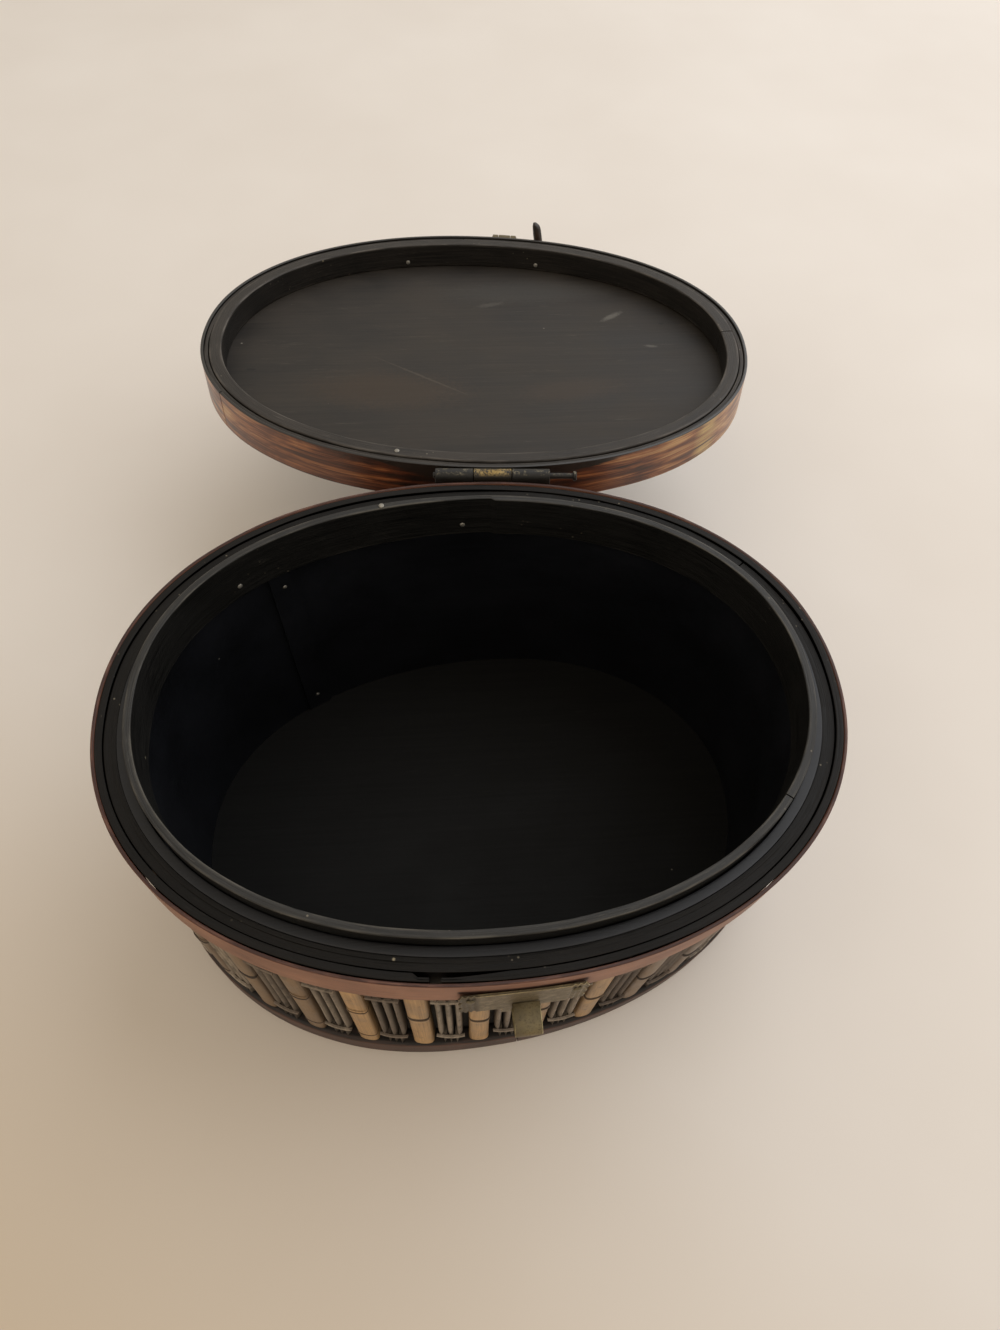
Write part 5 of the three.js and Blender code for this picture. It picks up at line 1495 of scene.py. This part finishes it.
def facing_in(frame):
    return frame @ Matrix.Rotation(math.pi, 4, "Z")


def numbered(name, count):
    return [f"{name}_{i + 1}" for i in range(count)]


# %% [markdown]
# On the box, nails hold the hinge's leaf, the lock plate, the lip and the batten. The lock
# plate's nails stand out with its ends. One more head is on top of the lip and faces up, where
# the photograph shows it.

# %% Nails of the box
HEAD_UP = Matrix.Rotation(math.radians(-90), 4, "X")
LIP_TOP_NAIL_RUN, LIP_NAIL_DROP, BATTEN_NAIL_INSET = 399.0, 14.0, 9.0
PLATE_NAIL, HOOP_NAIL, BATTEN_NAIL = 1.5, 1.1, 0.9
LEAF_NAIL_SHARE, NAIL_SPREAD_SHARE, LIP_NAIL_SHARES = 0.65, 0.34, (0.5, 0.64)
leaf_nail_rise, nail_spread = LEAF_HEIGHT * LEAF_NAIL_SHARE, HINGE_LENGTH * NAIL_SPREAD_SHARE
lock_nail_height = (lock_top + rim_band_low) / 2
on_body_leaf = [HINGE_FRAME @ moved(side * nail_spread, -GAP - LEAF_THICK, -leaf_nail_rise)
                for side in BOTH_SIDES]
lock_nail_out = GAP + PLATE_THICK + PLATE_STAND_OFF * (2 * NAIL_SIDE / LOCK_PLATE_WIDTH) ** 2
on_lock_plate = [wall_frame(LATCH_PLACE + side * NAIL_SIDE, lock_nail_out, lock_nail_height)
                 for side in BOTH_SIDES]
add_nails("brass_nails_on_box", on_body_leaf + on_lock_plate, PLATE_NAIL, "box", brass,
          numbered("hinge_body_nail", 2) + numbered("lock_plate_nail", 2))
in_lip = [facing_in(wall_frame(share * PERIMETER, lip_in, lip_high - LIP_NAIL_DROP))
          for share in LIP_NAIL_SHARES]
on_lip = wall_frame(LIP_TOP_NAIL_RUN, (lip_out + lip_in) / 2, lip_high) @ HEAD_UP
add_nails("lip_nails", in_lip + [on_lip], HOOP_NAIL, "box", pale_iron, numbered("lip_nail", 2))
in_batten = [facing_in(wall_frame(batten_run, batten_in, z))
             for z in (batten_low + BATTEN_NAIL_INSET, batten_high - BATTEN_NAIL_INSET)]
add_nails("batten_nails", in_batten, BATTEN_NAIL, "box", pale_iron, numbered("batten_nail", 2))
# %% [markdown]
# The lid's nails are placed as on the shut lid and then swing open with it. The one on the near
# hoop is the exception: it is set where the photograph shows it on the open lid, facing up.

# %% Nails of the lid
LID_NAIL_SIDE, HOOP_NAIL_RISE, HOOP_NAIL_SHARES = 9.4, 9.0, (0.04, 0.94, 0.3, 0.62)
NEAR_HOOP_NAIL = (-25.3, 120.1, 113.5)
on_lid_leaf = [HINGE_FRAME @ moved(side * nail_spread, LID_INSET - GAP - LEAF_THICK, GAP + leaf_nail_rise)
               for side in BOTH_SIDES]
on_lid_plate = [wall_frame(LATCH_PLACE + side * LID_NAIL_SIDE, GAP + PLATE_THICK - LID_INSET,
                           lid_plate_low + LID_PLATE_HEIGHT / 2) for side in BOTH_SIDES]
add_nails("brass_nails_on_lid", [LID_OPEN @ frame for frame in on_lid_leaf + on_lid_plate], PLATE_NAIL,
          "lid", brass, numbered("hinge_lid_nail", 2) + numbered("lid_plate_nail", 2))
in_lid_hoop = [facing_in(wall_frame(share * PERIMETER, lid_hoop_in, lid_low + HOOP_NAIL_RISE))
               for share in HOOP_NAIL_SHARES]
on_near_hoop = moved(*NEAR_HOOP_NAIL) @ HEAD_UP
add_nails("lid_hoop_nails", [LID_OPEN @ frame for frame in in_lid_hoop] + [on_near_hoop], HOOP_NAIL, "lid",
          pale_iron, numbered("lid_hoop_nail", 4))

# %% [markdown]
# The camera stands where the photograph's stood: a pinhole fitted to the outlines of the rim,
# the foot and the lid. It looks steeply down from in front, a little from the left.

# %% Camera
PHOTO_LONG_SIDE = 1330
SENSOR_WIDTH = 36.0
FOCAL_PIXELS = 958.3
CAMERA_AIM = Vector((13.6, 46.5, 60.0)) * MM
CAMERA_DISTANCE = 406.2 * MM
CAMERA_ELEVATION = math.radians(57.94)
CAMERA_AZIMUTH = math.radians(-6.10)
CAMERA_ROLL = math.radians(2.45)
NEAREST_SEEN = 0.01

camera_data = bpy.data.cameras.new("camera")
camera_data.sensor_width = SENSOR_WIDTH
camera_data.lens = FOCAL_PIXELS / PHOTO_LONG_SIDE * camera_data.sensor_width
camera_data.clip_start = NEAREST_SEEN
camera = new_object("camera", camera_data)
back = Vector((math.sin(CAMERA_AZIMUTH) * math.cos(CAMERA_ELEVATION),
               -math.cos(CAMERA_AZIMUTH) * math.cos(CAMERA_ELEVATION), math.sin(CAMERA_ELEVATION)))
look = (-back).to_track_quat("-Z", "Y").to_matrix() @ Matrix.Rotation(CAMERA_ROLL, 3, "Z")
camera.matrix_world = Matrix.Translation(CAMERA_AIM + back * CAMERA_DISTANCE) @ look.to_4x4()
bpy.context.scene.camera = camera
print("lens", round(camera_data.lens, 2), "mm")

# %% [markdown]
# The floor is a plain pale sheet, with painted shade that makes its near left corner darker
# and warmer. It is lit softly from a window at the upper right, so it is brightest there and
# the shadow falls to the lower left. The world fills the shadows.

# %% Floor and light
FLOOR_SIZE, FLOOR_DROP = 6.0, 0.0002
WORLD_STRENGTH = 0.715


def floor_finish():
    material, tree, shader = new_material("pale_table_top")
    place = object_coordinates(tree)
    clouds = noise(tree, place, (180.0, 180.0, 180.0), 3.0)
    tone = ramp(tree, clouds, [(0.3, "#E8E0D7"), (0.7, "#EEE7DF")])
    parts = node(tree, "ShaderNodeSeparateXYZ", Vector=place)
    leftward, nearer = (maths(tree, "MULTIPLY", parts.outputs[i], share)
                        for i, share in ((0, -0.6), (1, -0.8)))
    # Painted shade: the near left corner is darker and warmer.
    corner = remap(tree, maths(tree, "ADD", leftward, nearer), 0.05, 0.3)
    tree.links.new(mix(tree, corner, tone, "#CFBB9F"), shader.inputs["Base Color"])
    shader.inputs["Roughness"].default_value = 0.65
    return material


floor_mesh = bpy.data.meshes.new("floor")
half = FLOOR_SIZE / 2
floor_corners = [(-half, -half, 0), (half, -half, 0), (half, half, 0), (-half, half, 0)]
floor_mesh.from_pydata(floor_corners, [], [(0, 1, 2, 3)])
floor = new_object("floor", floor_mesh)
floor.location.z = -FLOOR_DROP
floor_mesh.materials.append(floor_finish())


def soft_lamp(name, place, aim, size, watts, tint):
    data = bpy.data.lights.new(name, "AREA")
    data.shape, data.size, data.energy, data.color = "DISK", size, watts, colour(tint)[:3]
    lamp = new_object(name, data)
    lamp.location = place
    lamp.rotation_mode = "QUATERNION"
    lamp.rotation_quaternion = (Vector(aim) - Vector(place)).to_track_quat("-Z", "Y")
    return lamp


soft_lamp("window", place=(1.0, 0.7, 1.15), aim=(0.05, 0.0, 0.0), size=2.4, watts=18.0, tint="#F1F6FF")
soft_lamp("room", place=(-0.5, -0.6, 1.3), aim=(0.0, 0.05, 0.0), size=1.4, watts=2.0, tint="#FFE2BE")
world = bpy.data.worlds.new("room_light")
bpy.context.scene.world = world
world.use_nodes = True
world.node_tree.nodes["Background"].inputs["Color"].default_value = colour("#E9E0D2")
world.node_tree.nodes["Background"].inputs["Strength"].default_value = WORLD_STRENGTH
bpy.context.scene.view_settings.view_transform = "Standard"
